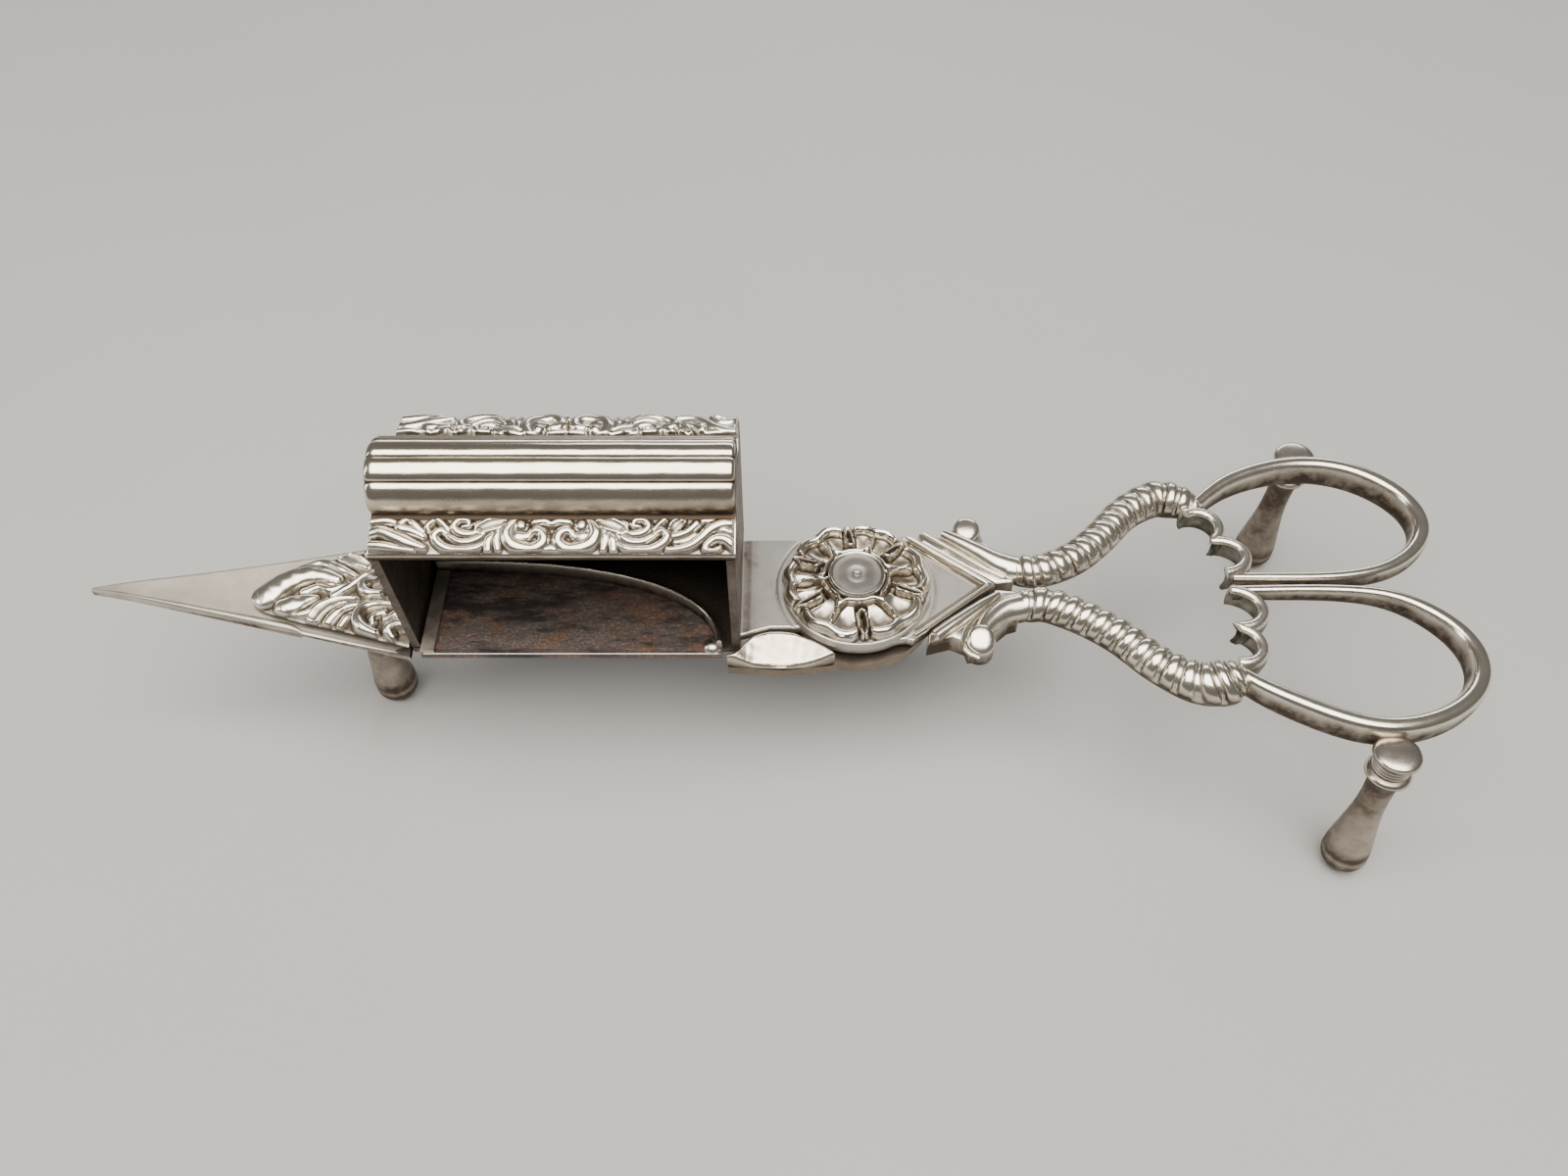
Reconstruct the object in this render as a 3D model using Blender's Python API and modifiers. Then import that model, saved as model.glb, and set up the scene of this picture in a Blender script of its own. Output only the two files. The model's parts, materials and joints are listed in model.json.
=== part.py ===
"""Silver wick trimmer (candle snuffers) on three turned feet.

Two levers turn on one upright pivot. The upper lever carries the pick, the
reeded box and the near finger bow; the lower lever carries the press tray
that slides into the box, and the far finger bow. The handles are closed.

Lengths below are millimetres. Plan positions are measured from the pivot
axis, heights from the surface that the feet stand on. X runs from the pick
(-X) to the bows (+X), Y is away from the box's open side, Z is up.
"""
import math

import bmesh
import bpy
from mathutils import Matrix, Vector

MM = 0.001
GAP = 0.3                       # left between pieces that rest on each other

PIVOT_X = 10.07                 # pivot axis, from the middle of the whole part
PIVOT_Y = 1.35

# Heights of the stacked plates
FLOOR_BOTTOM = 21.6             # underside of the upper lever and box floor
FLOOR_TOP = 22.4
UPPER_TOP = 23.0
WASHER_THICK = 0.4
LOWER_TOP = FLOOR_BOTTOM - 2 * GAP - WASHER_THICK
LOWER_BOTTOM = LOWER_TOP - 1.4
HANDLE_Z = 22.5                 # middle height of arms and bows

# Pivot
UPPER_DISC_R = 9.0
LOWER_DISC_R = 10.0
SHANK_R = 1.6
SHANK_HOLE_R = SHANK_R + GAP
ROSETTE_R = 9.4
ROSETTE_NOTCH_R = 7.9
PETALS = 6
PETAL_TURN = math.radians(-85)

# Box
BOX_LEFT = -53.3
BOX_RIGHT = -14.1
BOX_FRONT = -10.0
BOX_BACK = 10.4
FLOOR_FRONT = -8.8
SHEET = 0.8
END_WALL = 1.0
SHELF_FRONT_Z = 41.6
SHELF_INNER_Z = 43.0
SHELF_BACK_Z = 41.5
BARREL_Y = -1.1
BARREL_Z = 43.8
BARREL_R = 5.0
REED_ANGLES = (152, 117, 82, 54)
REED_WIDTH = 27
REED_RISE = 0.45
BAND_THICK = 0.5
BAND_WIDTH = 3.5

# Press tray
TRAY_BOTTOM = FLOOR_TOP + GAP
TRAY_TOP = TRAY_BOTTOM + 0.7
TRAY_LEFT = -51.8
TRAY_CURVE_LEFT = -50.2
TRAY_RIGHT = -16.2
TRAY_FRONT = -10.4
TRAY_DEPTH = 13.0
TRAY_CURVE = 2.3                # exponent of the far edge's rounded outline
RIM_THICK = 0.6
RIM_HEIGHT = 2.0

# Pick and leaf
TIP_X = -94.7
LEAF_START_X = -74.0
PICK_END_X = BOX_LEFT - GAP
PICK_NEAR_SLOPE = 0.232
PICK_FAR_SLOPE = 0.182
LEAF_INSET = 0.9
LEAF_RISE = 1.1

# Handles
ARROW_TIP_X = 17.0
ARROW_BASE_X = 6.6
ARROW_HALF_WIDTH = 8.2
BORDER_WIDTH = 1.3
BORDER_RISE = 0.8
ROOT_TOP = 23.8
SCROLL_R = 1.75
BOW_FLATTEN = 1.9               # bow section's height over its width

# Feet
FOOT_TOP = 23.7
BULB_R = 2.75
BULB_Z = 2.5
FRONT_FOOT = (-61.9, -0.5)
NEAR_FOOT = (59.7, -23.5)
FAR_FOOT = (59.7, 21.7)
LEAN_BACK = math.radians(3.0)   # rear feet lean towards the bows' ends
NEAR_SPLAY = math.radians(5.5)  # and outwards
FAR_SPLAY = math.radians(3.0)

ROUND_STEPS = 24
SILVER = (0.72, 0.69, 0.64)
TARNISHED = (0.42, 0.37, 0.31)
STAINED = (0.16, 0.10, 0.07)

# (x, y, radius) along each arm and bow; near is -Y, far is +Y
NEAR_ARM = ((19.9, -2.8, 1.9), (23.5, -2.6, 2.1), (27.6, -4.5, 2.15),
            (31.5, -7.3, 2.15), (35.3, -11.2, 2.2), (39.2, -13.9, 2.4),
            (43.3, -13.6, 2.5))
FAR_ARM = ((19.9, 2.9, 1.9), (23.5, 2.9, 2.1), (27.6, 4.8, 2.15),
           (31.3, 8.0, 2.15), (35.2, 12.2, 2.2), (39.2, 14.6, 2.4),
           (43.2, 14.1, 2.4))
NEAR_BOW = ((44.9, -13.3, 1.0), (50.5, -17.2, 1.15), (58.5, -20.9, 1.2),
            (67.0, -18.9, 1.2), (72.6, -14.0, 1.15), (72.8, -7.6, 1.1),
            (67.0, -1.9, 0.9), (60.0, -0.45, 0.7), (48.7, -0.45, 0.7))
FAR_BOW = ((44.9, 13.3, 1.0), (50.5, 17.7, 1.15), (58.5, 20.2, 1.2),
           (66.5, 19.0, 1.2), (72.2, 13.9, 1.15), (72.6, 7.8, 1.1),
           (67.0, 2.8, 0.9), (60.0, 1.35, 0.7), (48.7, 1.35, 0.7))
NEAR_SCALLOP = ((46.8, -0.6, 0.7), (49.4, -3.9, 0.8), (46.6, -6.7, 0.8),
                (48.3, -9.2, 0.8), (45.2, -11.0, 0.7))
FAR_SCALLOP = ((46.8, 1.5, 0.7), (49.4, 4.4, 0.8), (46.4, 6.7, 0.8),
               (47.9, 9.1, 0.8), (45.1, 11.0, 0.7))

for old in list(bpy.data.objects):
    bpy.data.objects.remove(old)

parts = bpy.data.collections.new("wick_trimmer")
cutters = bpy.data.collections.new("cutters")
bpy.context.scene.collection.children.link(parts)
bpy.context.scene.collection.children.link(cutters)


def lever_frame(name):
    """Empty on the pivot axis that a lever's pieces hang from."""
    empty = bpy.data.objects.new(name, None)
    empty.location = (PIVOT_X * MM, PIVOT_Y * MM, 0)
    empty.empty_display_size = 0.01
    parts.objects.link(empty)
    return empty


UPPER = lever_frame("upper_lever_frame")
LOWER = lever_frame("lower_lever_frame")


def material(name, colour, roughness):
    made = bpy.data.materials.new(name)
    made.use_nodes = True
    shader = made.node_tree.nodes["Principled BSDF"]
    shader.inputs["Base Color"].default_value = (*colour, 1.0)
    shader.inputs["Metallic"].default_value = 1.0
    shader.inputs["Roughness"].default_value = roughness
    return made


def finish(obj, lever, colour=SILVER, roughness=0.28):
    """Name, colour, shade and hang one finished piece on its lever."""
    obj.data.materials.clear()
    obj.data.materials.append(material(obj.name + "_finish", colour, roughness))
    obj.data.shade_smooth()
    obj.data.set_sharp_from_angle(angle=math.radians(35))
    obj.parent = lever
    return obj


def new_object(name, mesh, collection=parts):
    obj = bpy.data.objects.new(name, mesh)
    collection.objects.link(obj)
    return obj


def as_cutter(obj):
    """Move a shape to the cutters, in the same place as the pieces."""
    for owner in list(obj.users_collection):
        owner.objects.unlink(obj)
    cutters.objects.link(obj)
    obj.hide_render = True
    obj.display_type = "WIRE"
    obj.parent = UPPER
    return obj


def boolean(obj, cutter, operation="DIFFERENCE"):
    change = obj.modifiers.new(operation.lower(), "BOOLEAN")
    change.operation = operation
    change.solver = "EXACT"
    change.object = as_cutter(cutter)


def mesh_of_curve(name, curve, collection=parts):
    """Turn a curve into a welded mesh object and drop the curve."""
    holder = new_object(name + "_curve", curve)
    bpy.context.view_layer.update()
    evaluated = holder.evaluated_get(bpy.context.evaluated_depsgraph_get())
    mesh = bpy.data.meshes.new_from_object(evaluated)
    bpy.data.objects.remove(holder)
    bpy.data.curves.remove(curve)
    shape = bmesh.new()
    shape.from_mesh(mesh)
    bmesh.ops.remove_doubles(shape, verts=shape.verts, dist=0.000002)
    bmesh.ops.recalc_face_normals(shape, faces=shape.faces)
    shape.to_mesh(mesh)
    shape.free()
    mesh.name = name
    return new_object(name, mesh, collection)


def outline_curve(name, outline, thickness):
    curve = bpy.data.curves.new(name, "CURVE")
    curve.dimensions = "2D"
    curve.fill_mode = "BOTH"
    curve.extrude = thickness * MM / 2
    spline = curve.splines.new("POLY")
    spline.points.add(len(outline) - 1)
    for point, (x, y) in zip(spline.points, outline):
        point.co = (x * MM, y * MM, 0, 1)
    spline.use_cyclic_u = True
    return curve


def plate(name, outline, bottom, top):
    """Flat plan outline between two heights."""
    obj = mesh_of_curve(name, outline_curve(name, outline, top - bottom))
    obj.data.transform(Matrix.Translation((0, 0, (bottom + top) / 2 * MM)))
    return obj


def section(name, outline, left, right):
    """Outline in the Y-Z plane, run along X from left to right."""
    obj = mesh_of_curve(name, outline_curve(name, outline, right - left))
    turn = Matrix(((0, 0, 1, 0), (1, 0, 0, 0), (0, 1, 0, 0), (0, 0, 0, 1)))
    obj.data.transform(Matrix.Translation(((left + right) / 2 * MM, 0, 0)) @ turn)
    return obj


def disc(name, radius, bottom, top, x=0.0, y=0.0, steps=48):
    shape = bmesh.new()
    bmesh.ops.create_cone(shape, cap_ends=True, segments=steps, radius1=radius * MM,
                          radius2=radius * MM, depth=(top - bottom) * MM)
    centre = Vector((x, y, (bottom + top) / 2)) * MM
    bmesh.ops.translate(shape, verts=shape.verts, vec=centre)
    mesh = bpy.data.meshes.new(name)
    shape.to_mesh(mesh)
    shape.free()
    return new_object(name, mesh)


def turned(name, profile, steps=ROUND_STEPS):
    """Turn a profile of (radius, height), listed from the top down."""
    mesh = bpy.data.meshes.new(name)
    points = [(radius * MM, 0, height * MM) for radius, height in profile]
    mesh.from_pydata(points, [(i, i + 1) for i in range(len(points) - 1)], [])
    obj = new_object(name, mesh)
    screw = obj.modifiers.new("turn", "SCREW")
    screw.steps = steps
    screw.render_steps = steps
    screw.use_merge_vertices = True
    screw.merge_threshold = 0.000005
    screw.use_normal_calculate = False
    return obj


def tube(name, path, flatten=1.0, grow=0.0, smooth=5, sides=3):
    """Smooth tube through (x, y, radius) points, taller than wide by flatten."""
    curve = bpy.data.curves.new(name, "CURVE")
    curve.dimensions = "3D"
    curve.bevel_depth = MM
    curve.bevel_resolution = sides
    curve.use_fill_caps = True
    curve.resolution_u = smooth
    spline = curve.splines.new("BEZIER")
    spline.bezier_points.add(len(path) - 1)
    for point, (x, y, radius) in zip(spline.bezier_points, path):
        point.co = (x * MM, y * MM, 0)
        point.radius = radius + grow
        point.handle_left_type = "AUTO"
        point.handle_right_type = "AUTO"
    obj = mesh_of_curve(name, curve)
    stretch = Matrix.Diagonal((1, 1, flatten, 1))
    obj.data.transform(Matrix.Translation((0, 0, HANDLE_Z * MM)) @ stretch)
    return obj


def arc(radius, start, end, steps, x=0.0, y=0.0):
    """Points on a circle, angles in degrees."""
    turns = [math.radians(start + (end - start) * i / steps) for i in range(steps + 1)]
    return [(x + radius * math.cos(a), y + radius * math.sin(a)) for a in turns]


def mirrored(outline):
    """The same plan outline on the other side of the X axis."""
    return [(x, -y) for x, y in reversed(outline)]


# ---------------------------------------------------------------- upper lever
def upper_plate():
    """Neck, pivot disc and arrow-shaped plate, in one flat piece."""
    near_disc = arc(UPPER_DISC_R, 223.6, 300, 12)
    far_disc = arc(UPPER_DISC_R, 60, 122, 10)
    outline = [(BOX_RIGHT + GAP, -7.2), (-10.5, -6.2)] + near_disc
    outline += [(ARROW_BASE_X, -ARROW_HALF_WIDTH), (ARROW_TIP_X, 0),
                (ARROW_BASE_X, ARROW_HALF_WIDTH)]
    outline += far_disc + [(BOX_RIGHT + GAP, 7.6)]
    obj = plate("upper_plate", outline, FLOOR_BOTTOM, UPPER_TOP)
    boolean(obj, disc("upper_shank_hole", SHANK_HOLE_R, FLOOR_BOTTOM - 1, UPPER_TOP + 1))
    return finish(obj, UPPER)


def arrow_border():
    """Raised V-shaped border round the arrow plate's point."""
    run = ARROW_TIP_X - ARROW_BASE_X
    tilt = math.atan2(ARROW_HALF_WIDTH, run)
    back = BORDER_WIDTH / math.sin(tilt)
    start = ARROW_BASE_X + 0.9
    width = ARROW_HALF_WIDTH * (ARROW_TIP_X - start) / run
    outer = [(start, -width), (ARROW_TIP_X, 0), (start, width)]
    inner = [(start, width - BORDER_WIDTH / math.cos(tilt)), (ARROW_TIP_X - back, 0),
             (start, BORDER_WIDTH / math.cos(tilt) - width)]
    bottom = UPPER_TOP + GAP
    return finish(plate("arrow_border", outer + inner, bottom, bottom + BORDER_RISE), UPPER)


def pick_edge(x, slope, bulge):
    """Half width of the pick at x: straight taper with a little flare."""
    run = x - TIP_X
    return 0.35 + slope * run + bulge * (run / (PICK_END_X - TIP_X)) ** 2


def pick():
    """Pointed pick that widens into the plate under the leaf."""
    steps = 12
    stations = [TIP_X + (PICK_END_X - TIP_X) * i / steps for i in range(steps + 1)]
    near = [(x, -pick_edge(x, PICK_NEAR_SLOPE - 0.01, 0.3)) for x in stations]
    far = [(x, pick_edge(x, PICK_FAR_SLOPE - 0.05, 2.2)) for x in reversed(stations)]
    obj = plate("pick", near + far, FLOOR_BOTTOM, UPPER_TOP)
    bevel = obj.modifiers.new("soft_edges", "BEVEL")
    bevel.width = 0.25 * MM
    bevel.segments = 1
    return finish(obj, UPPER)


def acanthus_leaf():
    """Leaf relief that lies on the wide end of the pick."""
    steps = 10
    stations = [LEAF_START_X + 1.5 + (PICK_END_X - 0.4 - LEAF_START_X - 1.5) * i / steps
                for i in range(steps + 1)]
    near = [(x, -pick_edge(x, PICK_NEAR_SLOPE - 0.01, 0.3) + LEAF_INSET) for x in stations]
    far = [(x, pick_edge(x, PICK_FAR_SLOPE - 0.05, 2.2) - LEAF_INSET)
           for x in reversed(stations)]
    outline = [(LEAF_START_X, -1.6)] + near + far
    bottom = UPPER_TOP + GAP
    obj = plate("acanthus_leaf", outline, bottom, bottom + LEAF_RISE)
    bevel = obj.modifiers.new("soft_edges", "BEVEL")
    bevel.width = 0.35 * MM
    bevel.segments = 2
    return finish(obj, UPPER)


def box_floor():
    outline = [(BOX_LEFT, FLOOR_FRONT), (BOX_RIGHT, FLOOR_FRONT),
               (BOX_RIGHT, BOX_BACK - SHEET - GAP), (BOX_LEFT, BOX_BACK - SHEET - GAP)]
    return finish(plate("box_floor", outline, FLOOR_BOTTOM, FLOOR_TOP), UPPER, TARNISHED, 0.45)


def reeded_arc():
    """Outer line of the barrel, front to back, with a bump for every reed."""
    points = []
    for angle in range(176, 2, -3):
        rise = 0.0
        for centre in REED_ANGLES:
            off = abs(angle - centre) / (REED_WIDTH / 2)
            if off < 1:
                rise = max(rise, REED_RISE * math.sqrt(1 - off * off))
        turn = math.radians(angle)
        radius = BARREL_R - REED_RISE + rise
        points.append((BARREL_Y + radius * math.cos(turn), BARREL_Z + radius * math.sin(turn)))
    return points


def shell_inner(offset):
    """Inner line of the box's skin, back to front, moved inwards by offset."""
    skin = SHEET + offset
    radius = BARREL_R - REED_RISE - skin
    shelf_y = (BARREL_Y - radius, BARREL_Y + radius)
    crown = arc(radius, 0, 180, 16, BARREL_Y, BARREL_Z - skin / 2)
    back = BOX_BACK - skin
    ceiling = SHELF_INNER_Z - skin
    line = [(back, SHELF_BACK_Z - skin), (shelf_y[1], ceiling)]
    return line + crown[1:-1] + [(shelf_y[0], ceiling)]


def box_shell():
    """Box skin: front shelf, reeded barrel, back shelf and back wall."""
    outer = [(BOX_FRONT, SHELF_FRONT_Z - SHEET), (BOX_FRONT, SHELF_FRONT_Z),
             (BARREL_Y - BARREL_R, SHELF_INNER_Z)]
    outer += reeded_arc()
    outer += [(BARREL_Y + BARREL_R, SHELF_INNER_Z), (BOX_BACK, SHELF_BACK_Z),
              (BOX_BACK, FLOOR_BOTTOM)]
    inner = [(BOX_BACK - SHEET, FLOOR_BOTTOM)] + shell_inner(0.0)
    return finish(section("box_shell", outer + inner, BOX_LEFT, BOX_RIGHT), UPPER)


def end_wall(name, left):
    """Flat end of the box, inside the shell and on the floor."""
    inner = shell_inner(GAP)
    bottom = FLOOR_TOP + GAP
    outline = [(FLOOR_FRONT, bottom), (BOX_BACK - SHEET - GAP, bottom)] + inner
    outline += [(BOX_FRONT + 0.1, SHELF_FRONT_Z - SHEET - GAP)]
    return finish(section(name, outline, left, left + END_WALL), UPPER, TARNISHED, 0.4)


def scroll_band(name, low, high):
    """Strip of leaf scrolls soldered along a shelf, from its low to high edge."""
    along = Vector((high[0] - low[0], high[1] - low[1])).normalized()
    up = Vector((-along.y, along.x))
    if up.y < 0:
        up = -up
    start = Vector(low) + along * 0.25 + up * GAP
    end = start + along * BAND_WIDTH
    outline = [start, end, end + up * BAND_THICK, start + up * BAND_THICK]
    obj = section(name, [tuple(point) for point in outline], BOX_LEFT + 0.2, BOX_RIGHT - 0.2)
    return finish(obj, UPPER)


def rosette():
    """Six rounded petals round the pivot, dished towards a raised middle."""
    steps = PETALS * 12
    outline = []
    for i in range(steps):
        turn = 2 * math.pi * i / steps + PETAL_TURN
        lobe = abs(math.sin(PETALS / 2 * (turn - PETAL_TURN))) ** 0.5
        radius = ROSETTE_NOTCH_R + (ROSETTE_R - ROSETTE_NOTCH_R) * lobe
        outline.append((radius * math.cos(turn), radius * math.sin(turn)))
    bottom = UPPER_TOP + GAP
    obj = plate("rosette", outline, bottom, bottom + 1.5)
    boolean(obj, disc("rosette_raised_middle", 4.6, bottom + 0.5, bottom + 2.0), "UNION")
    boolean(obj, disc("rosette_shank_hole", SHANK_HOLE_R, bottom - 1, bottom + 4))
    return finish(obj, UPPER)


def root_outline(scroll_y):
    """Handle root beside the arrow plate, with its scroll, on the near side."""
    slope = ARROW_HALF_WIDTH / (ARROW_TIP_X - ARROW_BASE_X)
    clear = 0.35 * math.hypot(1, slope)

    def border(x):
        return -slope * (ARROW_TIP_X - x) - clear

    scroll = arc(SCROLL_R, 60, -190, 14, 14.6, scroll_y)
    return ([(8.6, border(8.6)), (8.6, border(8.6) - 1.2)]
            + [(11.4, -7.6)] + scroll[::-1]
            + [(17.4, -6.0), (19.5, -4.9), (19.5, -0.75), (17.4, -0.45)])


def near_root():
    return finish(plate("near_root", root_outline(-8.4), 20.2, ROOT_TOP), UPPER)


def foot_profile(top):
    """Turned foot from its cap down to the bulb that it stands on."""
    neck = [(0, top), (2.3, top), (2.65, top - 0.35), (2.65, top - 1.0), (1.9, top - 1.5),
            (1.8, top - 3.2), (2.25, top - 3.7), (2.4, top - 4.3), (2.2, top - 4.9),
            (1.7, top - 5.6), (1.65, top - 8.5), (1.8, 11.5), (2.15, 7.5)]
    bulb = arc(BULB_R, 35, -80, 7, 0, BULB_Z)
    return neck + bulb + [(0, bulb[-1][1])]


def foot(name, place, top, lever):
    """Upright foot under a plan position, ground flat underneath."""
    obj = turned(name, foot_profile(top))
    obj.location = Vector((place[0], place[1], 0)) * MM
    boolean(obj, disc(name + "_ground", 8, -6, 0, place[0], place[1]))
    return finish(obj, lever)


def rear_foot(name, place, lever, splay, ring):
    """Foot that leans outwards, let into the outer side of a bow."""
    obj = foot(name, place, FOOT_TOP, lever)
    hinge = Matrix.Translation(Vector((*place, FOOT_TOP)) * MM)
    lean = Matrix.Rotation(-LEAN_BACK, 4, "Y") @ Matrix.Rotation(splay, 4, "X")
    obj.matrix_local = hinge @ lean @ Matrix.Translation((0, 0, -FOOT_TOP * MM))
    boolean(obj, ring)


def upper_handle():
    finish(tube("near_arm", NEAR_ARM), UPPER)
    finish(tube("near_bow", NEAR_BOW, BOW_FLATTEN), UPPER)
    finish(tube("near_scallop", NEAR_SCALLOP, 2.0), UPPER)
    ring = tube("near_foot_ring_clearance", NEAR_BOW, BOW_FLATTEN, GAP)
    rear_foot("near_foot", NEAR_FOOT, UPPER, -NEAR_SPLAY, ring)
    foot("front_foot", FRONT_FOOT, FLOOR_BOTTOM - GAP, UPPER)


# ---------------------------------------------------------------- lower lever
def shoulder_outline():
    """Polished shoulder in front of the neck, clear of the upper disc."""
    behind = [(-13.75, -9.15), (-13.75, -7.75), (-10.1, -6.65), (-7.4, -6.75),
              (-5.9, -7.6), (-4.2, -8.6), (-3.1, -9.3)]
    front = [(-2.9, -10.2), (-5.5, -10.7), (-9.0, -10.95), (-13.0, -10.8), (-15.6, -10.4)]
    return [(-15.6, -9.15)] + behind + front


def lower_plate():
    """Pivot disc with a tab under the shoulder and one under the far root."""
    outline = [(-15.6, -10.3), (-15.6, -9.15), (-13.7, -7.4), (-8.7, -3.0), (-4.0, 0.0),
               (2.0, 6.5), (8.6, 8.6), (11.5, 8.2), (17.5, 5.4), (18.5, 1.6), (12.0, -2.0),
               (0.0, -8.0), (-3.0, -10.1), (-9.0, -10.8)]
    obj = disc("lower_plate", LOWER_DISC_R, LOWER_BOTTOM, LOWER_TOP)
    boolean(obj, plate("lower_plate_tabs", outline, LOWER_BOTTOM, LOWER_TOP), "UNION")
    boolean(obj, disc("lower_shank_hole", SHANK_HOLE_R, LOWER_BOTTOM - 1, LOWER_TOP + 1))
    return finish(obj, LOWER)


def shoulder():
    obj = plate("shoulder", shoulder_outline(), LOWER_TOP + GAP, UPPER_TOP)
    return finish(obj, LOWER, SILVER, 0.2)


def tray_edge(inset, steps=20):
    """Rounded far edge of the tray, from its left end to the near corner."""
    along = TRAY_RIGHT - TRAY_CURVE_LEFT - inset
    deep = TRAY_DEPTH - inset
    points = []
    for i in range(steps + 1):
        turn = math.pi / 2 * (1 - i / steps)
        points.append((TRAY_CURVE_LEFT + along * math.cos(turn) ** (2 / TRAY_CURVE),
                       TRAY_FRONT + deep * math.sin(turn) ** (2 / TRAY_CURVE)))
    return points


def press_tray():
    """Flat tray that lies over the box floor."""
    outline = tray_edge(0.0) + [(TRAY_LEFT, TRAY_FRONT), (TRAY_LEFT, TRAY_FRONT + TRAY_DEPTH)]
    return finish(plate("press_tray", outline, TRAY_BOTTOM, TRAY_TOP), LOWER, STAINED, 0.5)


def tray_rim():
    """Upright rim that sweeps the cut wick into the box."""
    outer = tray_edge(0.0)[:-1]
    inner = tray_edge(RIM_THICK)[:-1]
    left = TRAY_LEFT
    outline = [(left, TRAY_FRONT + TRAY_DEPTH)] + outer + inner[::-1]
    outline += [(left, TRAY_FRONT + TRAY_DEPTH - RIM_THICK)]
    bottom = TRAY_TOP + GAP
    return finish(plate("tray_rim", outline, bottom, bottom + RIM_HEIGHT - GAP), LOWER)


def tray_ledge():
    """Low flat ledge along the tray's left end."""
    outline = [(TRAY_LEFT, TRAY_FRONT + 0.1), (TRAY_CURVE_LEFT, TRAY_FRONT + 0.1),
               (TRAY_CURVE_LEFT, TRAY_FRONT + TRAY_DEPTH - RIM_THICK - GAP),
               (TRAY_LEFT, TRAY_FRONT + TRAY_DEPTH - RIM_THICK - GAP)]
    bottom = TRAY_TOP + GAP
    return finish(plate("tray_ledge", outline, bottom, bottom + 0.4), LOWER)


def far_root():
    outline = mirrored(root_outline(-8.6))
    return finish(plate("far_root", outline, LOWER_TOP + GAP, ROOT_TOP), LOWER)


def lower_handle():
    finish(tube("far_arm", FAR_ARM), LOWER)
    finish(tube("far_bow", FAR_BOW, BOW_FLATTEN), LOWER)
    finish(tube("far_scallop", FAR_SCALLOP, 2.0), LOWER)
    ring = tube("far_foot_ring_clearance", FAR_BOW, BOW_FLATTEN, GAP)
    rear_foot("far_foot", FAR_FOOT, LOWER, FAR_SPLAY, ring)


# ---------------------------------------------------------------------- pivot
def pivot_screw():
    """Button-headed screw through the rosette and both levers."""
    under_head = UPPER_TOP + GAP + 2.0 + GAP
    end = LOWER_BOTTOM - GAP - 1.3 - 0.4
    profile = [(0, under_head + 1.0), (2.6, under_head + 1.0), (2.75, under_head + 1.25),
               (3.2, under_head + 1.25), (3.4, under_head + 1.0), (3.4, under_head),
               (SHANK_R, under_head), (SHANK_R, end), (0, end)]
    return finish(turned("pivot_screw", profile, 32), UPPER)


def pivot_washer():
    bottom = LOWER_TOP + GAP
    obj = disc("pivot_washer", 5.0, bottom, bottom + WASHER_THICK, steps=32)
    boolean(obj, disc("washer_shank_hole", SHANK_HOLE_R, bottom - 1, bottom + 2))
    return finish(obj, UPPER, TARNISHED, 0.4)


def pivot_burr():
    """Round burr that holds the screw's end under the lower lever."""
    top = LOWER_BOTTOM - GAP
    obj = disc("pivot_burr", 3.6, top - 1.3, top, steps=32)
    boolean(obj, disc("burr_shank_hole", SHANK_HOLE_R, top - 3, top + 1))
    return finish(obj, UPPER)


upper_plate()
arrow_border()
pick()
acanthus_leaf()
box_floor()
box_shell()
end_wall("box_end_left", BOX_LEFT)
end_wall("box_end_right", BOX_RIGHT - END_WALL)
scroll_band("front_scroll_band", (BOX_FRONT, SHELF_FRONT_Z),
            (BARREL_Y - BARREL_R, SHELF_INNER_Z))
scroll_band("back_scroll_band", (BOX_BACK, SHELF_BACK_Z), (BARREL_Y + BARREL_R, SHELF_INNER_Z))
rosette()
near_root()
upper_handle()
lower_plate()
shoulder()
press_tray()
tray_rim()
tray_ledge()
far_root()
lower_handle()
pivot_screw()
pivot_washer()
pivot_burr()
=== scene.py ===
"""Silver wick trimmer on three turned feet: two levers on one upright pivot.

The upper lever has the pick, the reeded box and the near finger bow. The lower
lever has the press tray that swings into the box, and the far finger bow.
Lengths are millimetres. Plan positions are measured from the pivot axis, X from
the pick to the bows, Y away from the box's open side, and heights from the table.
"""
import json
import math

import bmesh
import bpy
import numpy as np
from mathutils import Matrix, Vector

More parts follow.
